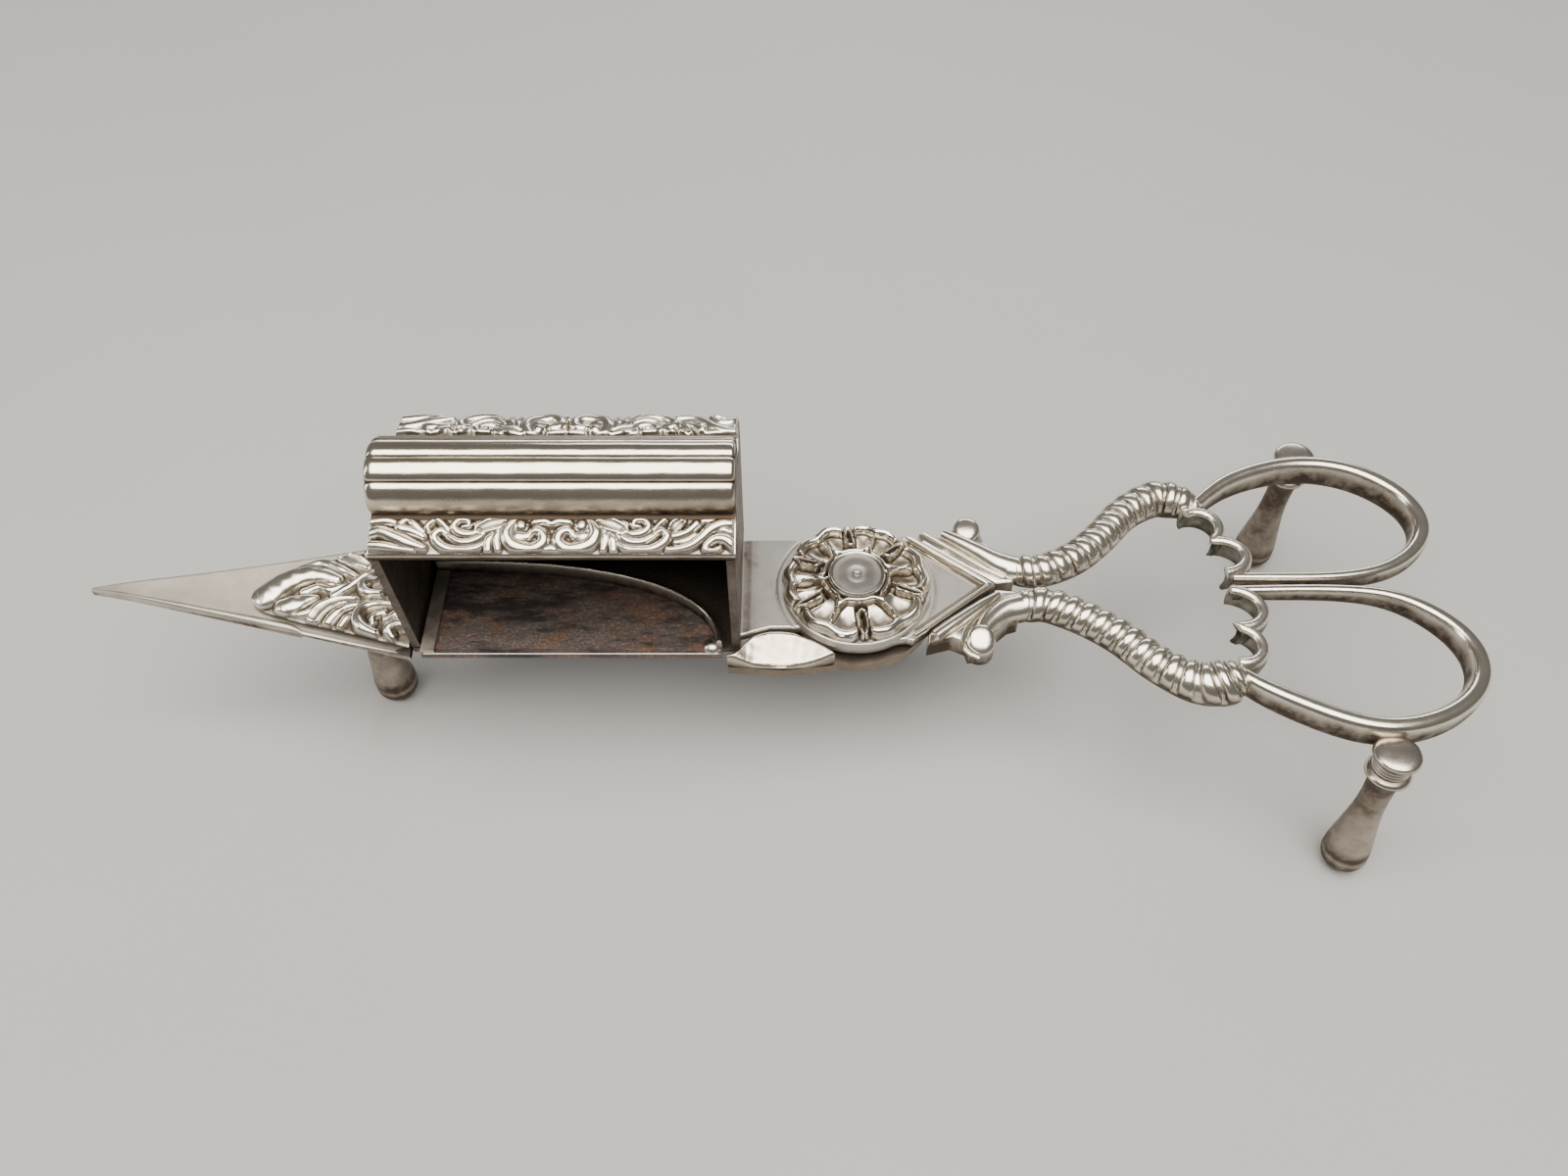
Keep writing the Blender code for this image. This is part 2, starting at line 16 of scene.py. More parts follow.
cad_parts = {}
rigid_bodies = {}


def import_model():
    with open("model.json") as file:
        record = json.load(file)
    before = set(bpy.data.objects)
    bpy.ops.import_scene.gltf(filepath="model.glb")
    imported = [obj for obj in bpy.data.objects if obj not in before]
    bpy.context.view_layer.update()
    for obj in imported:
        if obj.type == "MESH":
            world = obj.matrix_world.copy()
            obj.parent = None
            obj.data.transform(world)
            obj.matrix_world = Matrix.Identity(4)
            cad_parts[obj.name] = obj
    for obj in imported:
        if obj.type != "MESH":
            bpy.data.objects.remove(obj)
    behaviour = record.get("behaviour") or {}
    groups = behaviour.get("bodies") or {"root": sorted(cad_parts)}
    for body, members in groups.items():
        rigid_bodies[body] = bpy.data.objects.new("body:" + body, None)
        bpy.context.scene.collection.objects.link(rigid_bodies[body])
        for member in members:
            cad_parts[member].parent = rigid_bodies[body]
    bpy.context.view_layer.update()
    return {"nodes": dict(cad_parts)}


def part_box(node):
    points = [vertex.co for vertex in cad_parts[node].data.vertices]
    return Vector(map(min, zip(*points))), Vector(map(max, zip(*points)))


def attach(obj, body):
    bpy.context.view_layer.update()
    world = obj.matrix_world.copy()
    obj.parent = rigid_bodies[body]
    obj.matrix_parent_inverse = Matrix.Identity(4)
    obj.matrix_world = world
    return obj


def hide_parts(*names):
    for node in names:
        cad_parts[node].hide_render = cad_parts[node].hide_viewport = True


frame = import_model()

for old in list(bpy.data.objects):
    if old.type in {"LIGHT", "CAMERA"}:
        bpy.data.objects.remove(old)


# ------------------------------------------------------------------ the studio
# A pale table top, one big soft light overhead towards the viewer, a weaker one
# behind and a narrow one from the left. The camera looks down at the open side.
class Wire:
    """One node socket. Sums and products on it add Math nodes to its tree."""

    def __init__(self, tree, socket=None):
        self.tree = tree
        self.socket = socket

    def make(self, kind, inputs=None, settings=None, output=0):
        node = self.tree.nodes.new(kind)
        for key, value in (settings or {}).items():
            if key == "stops":
                self.fill_ramp(node.color_ramp, value)
            elif key == "profile":
                self.fill_curve(node.mapping, value)
            else:
                setattr(node, key, value)
        for key, value in (inputs or {}).items():
            if isinstance(value, Wire):
                self.tree.links.new(value.socket, node.inputs[key])
            else:
                node.inputs[key].default_value = value
        return Wire(self.tree, node.outputs[output] if node.outputs else None)

    @staticmethod
    def fill_ramp(ramp, stops):
        while len(ramp.elements) < len(stops):
            ramp.elements.new(0.5)
        for element, (position, value) in zip(ramp.elements, stops):
            element.position = position
            element.color = (value, value, value, 1.0)

    @staticmethod
    def fill_curve(mapping, points):
        curve = mapping.curves[0]
        while len(curve.points) < len(points):
            curve.points.new(0.5, 0.5)
        for point, place in zip(curve.points, points):
            point.location = place
            point.handle_type = "AUTO_CLAMPED"
        mapping.update()

    def math(self, operation, *values, clamp=False):
        settings = {"operation": operation, "use_clamp": clamp}
        return self.make("ShaderNodeMath", dict(enumerate(values)), settings)

    def __add__(self, other):
        return self.math("ADD", self, other)

    def __radd__(self, other):
        return self.math("ADD", other, self)

    def __sub__(self, other):
        return self.math("SUBTRACT", self, other)

    def __rsub__(self, other):
        return self.math("SUBTRACT", other, self)

    def __mul__(self, other):
        return self.math("MULTIPLY", self, other)

    def __rmul__(self, other):
        return self.math("MULTIPLY", other, self)

    def __truediv__(self, other):
        return self.math("DIVIDE", self, other)

    def clamped(self):
        return self.math("ADD", self, 0.0, clamp=True)

    def blend(self, low, high):
        """Colour between low and high, with this value as the factor."""
        return self.make("ShaderNodeMix", {0: self, 6: low, 7: high},
                         {"data_type": "RGBA"}, output=2)


def new_material(name):
    made = bpy.data.materials.new(name)
    made.use_nodes = True
    made.node_tree.nodes.clear()
    return made, Wire(made.node_tree)


def noise(wire, place, scale, detail=4.0, roughness=0.55):
    return wire.make("ShaderNodeTexNoise", {"Vector": place, "Scale": scale,
                                            "Detail": detail, "Roughness": roughness})


TABLE_REACH = 3.0
TABLE_COLOUR = (0.45, 0.447, 0.44, 1.0)
TABLE_SHADE = (0.40, 0.397, 0.392, 1.0)
VIEW_PLACE = (0.00117, -0.08889, 0.1416)
VIEW_TILT = math.radians(37.2)
VIEW_LENS = 27.675
VIEW_SENSOR = 36.0
VIEW_NEAR = 0.005
VIEW_FAR = 20.0
AIR_COLOUR = (0.30, 0.29, 0.275, 1.0)
AIR_STRENGTH = 0.55


def table_top():
    mesh = bpy.data.meshes.new("table_top")
    mesh.from_pydata([(TABLE_REACH * x, TABLE_REACH * y, 0)
                      for x, y in ((-1, -1), (1, -1), (1, 1), (-1, 1))], [], [(0, 1, 2, 3)])
    obj = bpy.data.objects.new("table_top", mesh)
    bpy.context.scene.collection.objects.link(obj)
    made, wire = new_material("table_paint")
    place = wire.make("ShaderNodeTexCoord", output=3)
    cloud = noise(wire, place, 9.0)
    grain = noise(wire, place, 900.0, 2.0)
    bump = wire.make("ShaderNodeBump", {"Strength": 0.15, "Distance": 0.0004,
                                        "Height": grain})
    shader = wire.make("ShaderNodeBsdfPrincipled",
                       {"Base Color": cloud.blend(TABLE_SHADE, TABLE_COLOUR),
                        "Roughness": 0.7, "Normal": bump})
    wire.make("ShaderNodeOutputMaterial", {"Surface": shader})
    mesh.materials.append(made)


def soft_light(name, place, aim, size, power, colour):
    lamp = bpy.data.lights.new(name, "AREA")
    lamp.shape = "RECTANGLE"
    lamp.size, lamp.size_y = size
    lamp.energy = power
    lamp.color = colour
    obj = bpy.data.objects.new(name, lamp)
    obj.location = place
    obj.rotation_euler = (Vector(aim) - Vector(place)).to_track_quat("-Z", "Y").to_euler()
    bpy.context.scene.collection.objects.link(obj)


# name, place, aim, width and depth, power, colour
LIGHTS = (
    ("overhead_softbox", (0.0, -0.14, 0.64), (0, 0, 0.03), (0.75, 0.60), 10.5,
     (1.0, 0.95, 0.865)),
    ("rear_softbox", (0.25, 1.25, 0.55), (0, 0, 0.02), (1.1, 0.30), 5.0, (0.93, 0.96, 1.0)),
    ("left_strip", (-0.80, -0.10, 0.40), (0, 0, 0.02), (0.2, 0.6), 2.0, (1.0, 0.97, 0.93)),
)

table_top()
for light in LIGHTS:
    soft_light(*light)

world = bpy.data.worlds.new("studio_air")
world.use_nodes = True
air = world.node_tree.nodes["Background"]
air.inputs["Color"].default_value = AIR_COLOUR
air.inputs["Strength"].default_value = AIR_STRENGTH
bpy.context.scene.world = world

view = bpy.data.cameras.new("view")
view.lens = VIEW_LENS
view.sensor_width = VIEW_SENSOR
view.clip_start = VIEW_NEAR
view.clip_end = VIEW_FAR
camera = bpy.data.objects.new("view", view)
camera.location = VIEW_PLACE
camera.rotation_euler = (VIEW_TILT, 0, 0)
bpy.context.scene.collection.objects.link(camera)
bpy.context.scene.camera = camera


# -------------------------------------------------------------- the pick blade
# Flat forged blade that tapers to a point, used to lift and trim the wick. Its
# near edge has a polished rounded bevel that stops short of the leaf.
MM = 0.001
shank_low, shank_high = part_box("pivot_screw")
PIVOT = Vector(((shank_low.x + shank_high.x) / 2, (shank_low.y + shank_high.y) / 2, 0))
blade_low, blade_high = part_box("pick")
BLADE_TIP = (blade_low.x - PIVOT.x) / MM
BLADE_BUTT = (blade_high.x - PIVOT.x) / MM
PLATE_BOTTOM = blade_low.z / MM
PLATE_TOP = blade_high.z / MM
BEVEL_END = -67.3
POINT_RUN = 7.0
WELD_GAP = 0.000001
CREASE = math.radians(50)
BRIGHT = (0.86, 0.805, 0.705, 1.0)
WARM = (0.58, 0.50, 0.40, 1.0)
# Dark tone of tarnish, also used for painted shade on sides and undersides.
TARNISH_AND_SHADE = (0.075, 0.055, 0.040, 1.0)
# pattern sizes of old silver, as noise scales
DRIFT_SCALE = 170.0
PATCH_SCALE = 620.0
SPECK_SCALE = 3400.0
SCRATCH_SCALE = 2600.0
# how strongly a bend counts as a crease, or as an edge that hands have rubbed
CREASE_GAIN = 1.8
RUB_GAIN = 1.3


def put_in_scene(name, vertices, faces):
    """New object from plan millimetres, turned outwards and shaded smooth."""
    points = np.asarray(vertices, float).reshape(-1, 3) * MM
    points[:, 0] += PIVOT.x
    points[:, 1] += PIVOT.y
    mesh = bpy.data.meshes.new(name)
    mesh.from_pydata(points.tolist(), [], faces)
    shape = bmesh.new()
    shape.from_mesh(mesh)
    bmesh.ops.remove_doubles(shape, verts=shape.verts, dist=WELD_GAP)
    bmesh.ops.recalc_face_normals(shape, faces=shape.faces)
    shape.to_mesh(mesh)
    shape.free()
    mesh.shade_smooth()
    mesh.set_sharp_from_angle(angle=CREASE)
    obj = bpy.data.objects.new(name, mesh)
    bpy.context.scene.collection.objects.link(obj)
    return obj


def skin(rings):
    """Points and faces of a skin over closed rings, with both ends filled."""
    rings = np.asarray(rings, float)
    count, around = rings.shape[:2]
    last = (count - 1) * around
    faces = []
    for here in range(0, last, around):
        for j in range(around):
            k = (j + 1) % around
            faces.append((here + j, here + k, here + around + k, here + around + j))
    faces.append(tuple(range(around))[::-1])
    faces.append(tuple(range(last, last + around)))
    return rings.reshape(-1, 3), faces


def together(parts):
    """Several skins as one list of points and faces."""
    points, faces, start = [], [], 0
    for part_points, part_faces in parts:
        points.append(np.asarray(part_points, float).reshape(-1, 3))
        faces += [tuple(start + i for i in face) for face in part_faces]
        start += len(points[-1])
    return np.vstack(points), faces


def mark_wear_and_shade(obj, reach=0.35, rounds=4, low=None, side_shade_depth=0.95):
    """Keep 'hollow' for tarnish in creases and for painted shade, and 'worn' for
    proud edges, at every point.

    reach is the depth in millimetres that counts as a crease, and rounds is how
    often the marks are spread out. low adds its own hollows. Sides and
    undersides get painted shade in the same mark, up to dull."""
    mesh = obj.data
    count = len(mesh.vertices)
    place = np.empty(count * 3)
    normal = np.empty(count * 3)
    pairs = np.empty(len(mesh.edges) * 2, np.int64)
    mesh.vertices.foreach_get("co", place)
    mesh.vertex_normals.foreach_get("vector", normal)
    mesh.edges.foreach_get("vertices", pairs)
    place, normal = place.reshape(-1, 3), normal.reshape(-1, 3)
    first, second = pairs.reshape(-1, 2).T
    span = place[second] - place[first]
    squared = np.maximum((span ** 2).sum(1), 1e-12)
    bend = np.zeros(count)
    weight = np.zeros(count)
    np.add.at(bend, first, 2 * (span * normal[first]).sum(1) / squared)
    np.add.at(bend, second, -2 * (span * normal[second]).sum(1) / squared)
    np.add.at(weight, first, 1)
    np.add.at(weight, second, 1)
    weight = np.maximum(weight, 1)
    bend = np.clip(bend / weight * reach * MM, -2, 2)
    for _ in range(rounds):
        spread = np.zeros(count)
        np.add.at(spread, first, bend[second])
        np.add.at(spread, second, bend[first])
        bend = (bend + spread / weight) / 2
    # Painted shade: faces that turn away from up are darkened, up to dull, as if in shade.
    painted_side_shade = np.clip((0.42 - normal[:, 2]) / 0.5, 0, 1)
    upwards = np.clip((normal[:, 2] - 0.05) / 0.5, 0, 1)
    hollow = np.maximum(np.clip(bend * CREASE_GAIN, 0, 1), side_shade_depth * painted_side_shade)
    if low is not None:
        hollow = np.maximum(hollow, low(place))
    worn = np.clip(-bend * RUB_GAIN, 0, 1) * upwards
    for key, values in (("hollow", hollow), ("worn", worn)):
        mesh.attributes.new(key, "FLOAT", "POINT").data.foreach_set(
            "value", values.astype(np.float32))


def silver(name, bright=BRIGHT, tarnish_and_shade_film=TARNISH_AND_SHADE, polish=0.14, haze=0.12, tarnish_and_shade_gain=0.9,
           cloud=0.25, scratch=0.25, cast=0.0, run=(1.0, 1.0, 1.0)):
    """Old silver: tarnish in the creases, painted shade on sides and undersides,
    bright worn edges, fine scratches.

    polish is the bare roughness and haze its patches; grime, cloud, scratch and
    cast set how strongly tarnish with painted shade, stains, scratches and casting
    grain show. film is the dark tone of both the tarnish and the painted shade."""
    made, wire = new_material(name)
    place = wire.make("ShaderNodeTexCoord", output=3)
    broad = noise(wire, place, DRIFT_SCALE, 5.0)
    patch = noise(wire, place, PATCH_SCALE, 6.0, 0.65)
    speck = noise(wire, place, SPECK_SCALE, 3.0, 0.6)
    drawn = wire.make("ShaderNodeMapping", {"Vector": place, "Scale": run})
    lines = noise(wire, drawn, SCRATCH_SCALE, 5.0, 0.7)
    hollow = wire.make("ShaderNodeAttribute", {}, {"attribute_name": "hollow"}, output=2)
    worn = wire.make("ShaderNodeAttribute", {}, {"attribute_name": "worn"}, output=2)
    drift = wire.make("ShaderNodeValToRGB", {"Fac": broad},
                      {"stops": [(0.38, 0.0), (0.68, 1.0)]})
    blotch = wire.make("ShaderNodeValToRGB", {"Fac": patch},
                       {"stops": [(0.42, 0.0), (0.75, 1.0)]})
    # Crease tarnish and painted shade (the hollow mark) and real stains (cloud) darken the metal
    # towards film, less on worn edges.
    darkening = (hollow * tarnish_and_shade_gain * (0.65 + 0.7 * patch) + cloud * drift * blotch
            + cloud * 0.35 * drift - 0.7 * worn).clamped()
    warm = (0.75 * drift + 0.25 * speck - 0.6 * worn).clamped()
    metal = warm.blend(bright, tuple(0.5 * a + 0.5 * b for a, b in zip(bright, WARM)))
    colour = darkening.blend(metal, tarnish_and_shade_film)
    rough = (polish + haze * patch + 0.10 * haze * lines + 0.38 * darkening
             - 0.05 * worn).clamped()
    height = scratch * lines + 0.5 * scratch * patch + cast * speck + cast * 1.5 * patch
    bump = wire.make("ShaderNodeBump", {"Strength": 0.35, "Distance": 0.00006,
                                        "Height": height})
    shader = wire.make("ShaderNodeBsdfPrincipled",
                       {"Base Color": colour, "Metallic": 1.0, "Roughness": rough,
                        "Normal": bump})
    wire.make("ShaderNodeOutputMaterial", {"Surface": shader})
    return made


def finish(obj, finish_material, body, node):
    """Give a piece its metal and hang it on its lever in place of a CAD node."""
    obj.data.materials.clear()
    obj.data.materials.append(finish_material)
    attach(obj, body)
    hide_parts(node)


def blade_edges(x):
    """Near and far edge of the pick at x."""
    run = x - BLADE_TIP
    share = run / (BLADE_BUTT - BLADE_TIP)
    return -(0.35 + 0.222 * run + 0.3 * share ** 2), 0.35 + 0.132 * run + 2.2 * share ** 2


def bevel_width(x):
    """Width of the near bevel, which dies out just before the leaf."""
    run = x - BLADE_TIP
    left = np.clip((BEVEL_END - x) / 2.6, 0, 1)
    return (0.35 + 0.034 * run) * math.sqrt(1 - (1 - left) ** 2)


def blade_top(x, near, far, y):
    """Height of the blade's face: bevel, thin rim beyond it, soft far edge."""
    inward = y - near
    wide = bevel_width(x)
    tip = max(0.0, 1 - (x - BLADE_TIP) / POINT_RUN)
    top = PLATE_TOP - 0.45 * tip ** 2
    if wide > 0.03 and inward < wide:
        share = inward / wide
        top += 0.22 * math.sin(math.pi * share ** 0.8) - 0.75 * (1 - share) ** 2.2
    elif x > BEVEL_END - 0.5:
        rim = inward / 0.42
        if rim < 1:
            top += 0.30 * math.sqrt(1 - (1 - rim) ** 2) - 0.25
        else:
            top += 0.05 * math.exp(-(rim - 1) * 3)
    outward = far - y
    if outward < 0.3:
        top -= 0.28 * (1 - outward / 0.3) ** 2
    middle = (far - near) / 2
    top -= 0.10 * min(1.0, middle / 3) * math.exp(-((y - (near + far) / 2) / middle) ** 2)
    return top - 0.085 * (far - y)


def pick_blade():
    rings = []
    spread = np.concatenate([np.linspace(0, 0.22, 18), np.linspace(0.25, 0.93, 26),
                             np.linspace(0.95, 1.0, 7)])
    for share in np.linspace(0, 1, 200):
        x = BLADE_TIP + (BLADE_BUTT - BLADE_TIP) * share
        near, far = blade_edges(x)
        tip = max(0.0, 1 - (x - BLADE_TIP) / POINT_RUN)
        bottom = PLATE_BOTTOM + 0.35 * tip ** 2
        ring = [(x, near + (far - near) * s, blade_top(x, near, far, near + (far - near) * s))
                for s in spread]
        ring += [(x, far - 0.05, bottom + 0.35), (x, far - 0.35, bottom)]
        ring += [(x, far + (near - far) * s, bottom) for s in (0.3, 0.6)]
        ring += [(x, near + 0.4, bottom), (x, near + 0.06, bottom + 0.35)]
        rings.append(ring)
    obj = put_in_scene("pick_blade", *skin(rings))

    def by_the_leaf(p):
        x, y = (p[:, 0] - PIVOT.x) / MM, (p[:, 1] - PIVOT.y) / MM
        return 0.42 * np.exp(-((x + 72.5) / 3.4) ** 2 - ((y - 0.9) / 1.9) ** 2)

    mark_wear_and_shade(obj, low=by_the_leaf)
    metal = silver("pick_satin_silver", bright=(0.80, 0.745, 0.655, 1), polish=0.31, haze=0.16,
                   tarnish_and_shade_gain=0.7, cloud=0.30, scratch=0.5, run=(0.35, 2.2, 1.0))
    finish(obj, metal, "upper_lever", "pick")


pick_blade()


# ----------------------------------------------------------- the acanthus leaf
# Cast and chased leaf soldered on the broad end of the pick. One fat lobe lies
# along its back, and curled leaflets fan out from it towards the box.
SCOOP_LIP = 0.72


def smooth_path(points, per_span=10):
    """Catmull-Rom line through rows of numbers."""
    points = np.asarray(points, float)
    padded = np.vstack([2 * points[0] - points[1], points, 2 * points[-1] - points[-2]])
    made = []
    for i in range(1, len(padded) - 2):
        a, b, c, d = padded[i - 1:i + 3]
        for t in np.arange(per_span) / per_span:
            made.append(0.5 * (2 * b + (c - a) * t + (2 * a - 5 * b + 4 * c - d) * t * t
                               + (3 * b - a - 3 * c + d) * t ** 3))
    made.append(points[-1])
    return np.array(made)


def softened(height, rounds):
    """Heights with their sharp creases worn down."""
    for _ in range(rounds):
        padded = np.pad(height, 1, mode="edge")
        height = (padded[1:-1, 1:-1] * 2 + padded[:-2, 1:-1] + padded[2:, 1:-1]
                  + padded[1:-1, :-2] + padded[1:-1, 2:]) / 6
    return height


def chased(x, y, strokes, swell):
    """Height of chased strokes of (x, y, half width, height) at plan points.

    A stroke is a rounded ridge, or a scoop with a dished back. Every stroke's
    width is scaled by swell, and the highest stroke shows where several meet."""
    total = np.zeros_like(x)
    for kind, points in strokes:
        line = smooth_path(points)
        line[:, 2] *= swell
        far = line[:, 2].max() + 0.05
        near_it = ((x > line[:, 0].min() - far) & (x < line[:, 0].max() + far)
                   & (y > line[:, 1].min() - far) & (y < line[:, 1].max() + far))
        if not near_it.any():
            continue
        px, py = x[near_it][:, None], y[near_it][:, None]
        start, span = line[:-1, :2], line[1:, :2] - line[:-1, :2]
        square = np.maximum((span ** 2).sum(1), 1e-9)
        along = np.clip(((px - start[:, 0]) * span[:, 0] + (py - start[:, 1]) * span[:, 1])
                        / square, 0, 1)
        off = np.hypot(px - start[:, 0] - along * span[:, 0],
                       py - start[:, 1] - along * span[:, 1])
        half = line[:-1, 2] + along * (line[1:, 2] - line[:-1, 2])
        high = line[:-1, 3] + along * (line[1:, 3] - line[:-1, 3])
        share = off / half
        best = share.argmin(1)
        rows = np.arange(len(best))
        share, high = share[rows, best], high[rows, best]
        if kind == "ridge":
            top = np.clip(1 - share ** 2, 0, 1) ** 0.42
        else:
            top = np.where(share < SCOOP_LIP, 0.62 + 0.38 * (share / SCOOP_LIP) ** 2,
                           np.sqrt(np.clip(1 - ((share - SCOOP_LIP) / 0.28) ** 2, 0, 1)))
        total[near_it] = np.maximum(total[near_it], high * top)
    return total


LEAF_LEFT = -74.05
LEAF_SWELL = 1.58
LEAF_NEAR = [(-74.1, -2.1), (-73.6, -3.1), (-72.7, -3.7), (-70.9, -4.4), (-68.9, -5.0),
             (-67.4, -5.5), (-63.8, -6.4), (-58.1, -7.9), (-53.7, -9.1)]
LEAF_FAR = [(-74.1, -2.1), (-73.7, -0.9), (-72.9, 0.3), (-71.6, 1.5), (-70.1, 2.5),
            (-67.3, 3.7), (-63.6, 4.8), (-58.0, 6.5), (-53.7, 7.6)]
LEAF_STROKES = [
    ("ridge", [(-72.9, -2.3, 0.95, 1.1), (-72.0, -1.7, 1.15, 1.45), (-70.8, -0.4, 1.1, 1.5),
               (-69.5, 0.7, 1.0, 1.45), (-67.6, 1.4, 0.85, 1.3), (-65.7, 1.3, 0.7, 1.1),
               (-64.1, 0.8, 0.45, 0.8)]),
    ("ridge", [(-69.6, -3.5, 0.85, 1.1), (-68.6, -3.1, 0.85, 1.15), (-67.4, -2.5, 0.6, 0.9),
               (-66.2, -2.0, 0.3, 0.6)]),
    ("ridge", [(-71.2, 1.3, 0.3, 0.45), (-69.0, 2.6, 0.45, 0.7), (-66.6, 3.2, 0.5, 0.9),
               (-64.5, 2.5, 0.5, 1.0), (-61.7, 1.1, 0.25, 0.7)]),
    ("scoop", [(-64.0, 4.2, 0.6, 0.8), (-62.5, 3.6, 0.65, 1.0), (-60.7, 2.8, 0.35, 0.7)]),
    ("ridge", [(-67.8, -1.1, 0.4, 0.6), (-66.2, -0.5, 0.4, 0.75), (-64.4, -0.9, 0.35, 0.8),
               (-62.6, 0.0, 0.3, 0.8)]),
    ("ridge", [(-64.1, -1.7, 0.3, 0.6), (-62.4, -0.6, 0.35, 0.9), (-61.0, 0.9, 0.4, 1.05),
               (-59.6, 2.0, 0.35, 0.9), (-58.0, 2.6, 0.2, 0.6)]),
    ("ridge", [(-58.5, -1.3, 0.3, 0.8), (-59.9, -1.4, 0.45, 1.1), (-60.7, -0.6, 0.45, 1.15),
               (-60.3, 0.5, 0.4, 1.0), (-59.2, 0.9, 0.25, 0.7)]),
    ("scoop", [(-65.7, -5.3, 0.55, 0.75), (-64.9, -3.9, 0.6, 0.95), (-63.2, -2.7, 0.45, 0.9),
               (-61.2, -2.3, 0.3, 0.7)]),
    ("ridge", [(-64.0, -6.1, 0.4, 0.7), (-63.2, -4.7, 0.5, 1.0), (-61.9, -3.6, 0.4, 0.95),
               (-59.6, -2.8, 0.3, 0.7)]),
    ("ridge", [(-62.2, -6.4, 0.35, 0.7), (-61.6, -5.2, 0.4, 0.9), (-60.8, -4.4, 0.3, 0.7)]),
    ("ridge", [(-58.0, -7.3, 0.45, 0.8), (-59.7, -6.4, 0.55, 1.15), (-60.4, -4.9, 0.5, 1.2),
               (-59.8, -3.6, 0.45, 1.05), (-58.2, -3.0, 0.35, 0.85), (-56.6, -2.9, 0.2, 0.5)]),
    ("ridge", [(-58.4, -5.9, 0.3, 0.6), (-58.5, -4.9, 0.35, 0.8), (-57.3, -4.3, 0.3, 0.7)]),
    ("ridge", [(-53.9, -6.2, 0.35, 0.8), (-55.3, -6.1, 0.5, 1.1), (-56.3, -6.8, 0.5, 1.1),
               (-55.6, -7.9, 0.35, 0.8)]),
    ("ridge", [(-57.0, -5.2, 0.3, 0.6), (-55.6, -4.6, 0.45, 1.0), (-53.9, -4.4, 0.3, 0.8)]),
    ("scoop", [(-60.9, 4.9, 0.55, 0.8), (-59.2, 4.2, 0.65, 1.1), (-57.2, 3.6, 0.4, 0.8)]),
    ("ridge", [(-58.6, 5.8, 0.4, 0.8), (-57.0, 5.3, 0.5, 1.1), (-55.2, 4.9, 0.4, 0.8)]),
    ("ridge", [(-58.3, 2.2, 0.3, 0.6), (-56.7, 2.5, 0.45, 1.0), (-55.2, 3.2, 0.4, 0.9),
               (-53.9, 3.4, 0.3, 0.7)]),
    ("ridge", [(-58.2, 0.4, 0.3, 0.6), (-56.6, 0.7, 0.45, 1.0), (-55.0, 0.4, 0.45, 1.0),
               (-53.9, -0.2, 0.3, 0.7)]),
    ("ridge", [(-57.2, -1.5, 0.3, 0.6), (-55.8, -1.4, 0.4, 0.9), (-54.0, -2.0, 0.35, 0.8)]),
    ("ridge", [(-56.4, 6.7, 0.3, 0.7), (-55.0, 6.5, 0.4, 0.9), (-53.9, 5.9, 0.3, 0.7)]),
    ("ridge", [(-66.5, 0.2, 0.2, 0.5), (-65.0, 0.0, 0.2, 0.6), (-63.4, -0.2, 0.15, 0.5)]),
    ("ridge", [(-68.6, -4.5, 0.2, 0.35), (-66.8, -4.2, 0.3, 0.5), (-65.8, -3.2, 0.3, 0.6),
               (-64.8, -2.2, 0.2, 0.5)]),
]


def leaf_height(x, y):
    rough = 0.035 * np.sin(2.9 * x + 1.3 * y) * np.sin(2.3 * y - 0.7 * x)
    return 0.14 + rough + chased(x, y, LEAF_STROKES, LEAF_SWELL)


def acanthus_leaf():
    """Chased sheet between the leaf's two edge lines, flat on the pick below."""
    xs = np.linspace(LEAF_LEFT, BLADE_BUTT, 300)
    near = np.interp(xs, *np.array(LEAF_NEAR).T)
    far = np.interp(xs, *np.array(LEAF_FAR).T)
    share = np.linspace(0, 1, 100)
    x = np.repeat(xs[:, None], len(share), 1)
    y = near[:, None] + (far - near)[:, None] * share
    inward = np.minimum(y - near[:, None], far[:, None] - y)
    inward = np.minimum(inward, x - LEAF_LEFT + 0.02)
    rise = softened(leaf_height(x, y), 3) * np.clip(inward / 0.35, 0, 1) ** 0.5
    top = np.stack([x, y, PLATE_TOP + rise], 2)
    under = top[:, ::-4].copy()
    under[:, :, 2] = PLATE_TOP - 0.25
    obj = put_in_scene("leaf_chasing", *skin(np.concatenate([top, under], 1)))
    mark_wear_and_shade(obj, 0.30, 3, lambda p: np.clip(1.1 - (p[:, 2] / MM - PLATE_TOP) / 0.6, 0, 0.8))
    metal = silver("leaf_chased_silver", polish=0.17, haze=0.14, tarnish_and_shade_gain=1.0, cloud=0.15,
                   scratch=0.3, cast=0.5)
    finish(obj, metal, "upper_lever", "acanthus_leaf")


acanthus_leaf()


# ------------------------------------------------------------------ the box
# Raised and soldered sheet silver. The lid is drawn into three bold reeds and two
# beads between two sloping shelves; the ends are flat plates, blackened inside.
box_low, box_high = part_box("box_shell")
BOX_LEFT = (box_low.x - PIVOT.x) / MM
BOX_RIGHT = (box_high.x - PIVOT.x) / MM
BOX_FRONT = (box_low.y - PIVOT.y) / MM
BOX_BACK = (box_high.y - PIVOT.y) / MM
LIP_Z = 41.6
SHELF_Z = 43.0
BACK_SHELF_Z = 41.5
LID_Y = -1.1
LID_Z = 43.8
LID_R = 5.0
REED_ROOT = LID_R - 0.47
SHEET = 0.8
BOX_LENGTH = 39.2
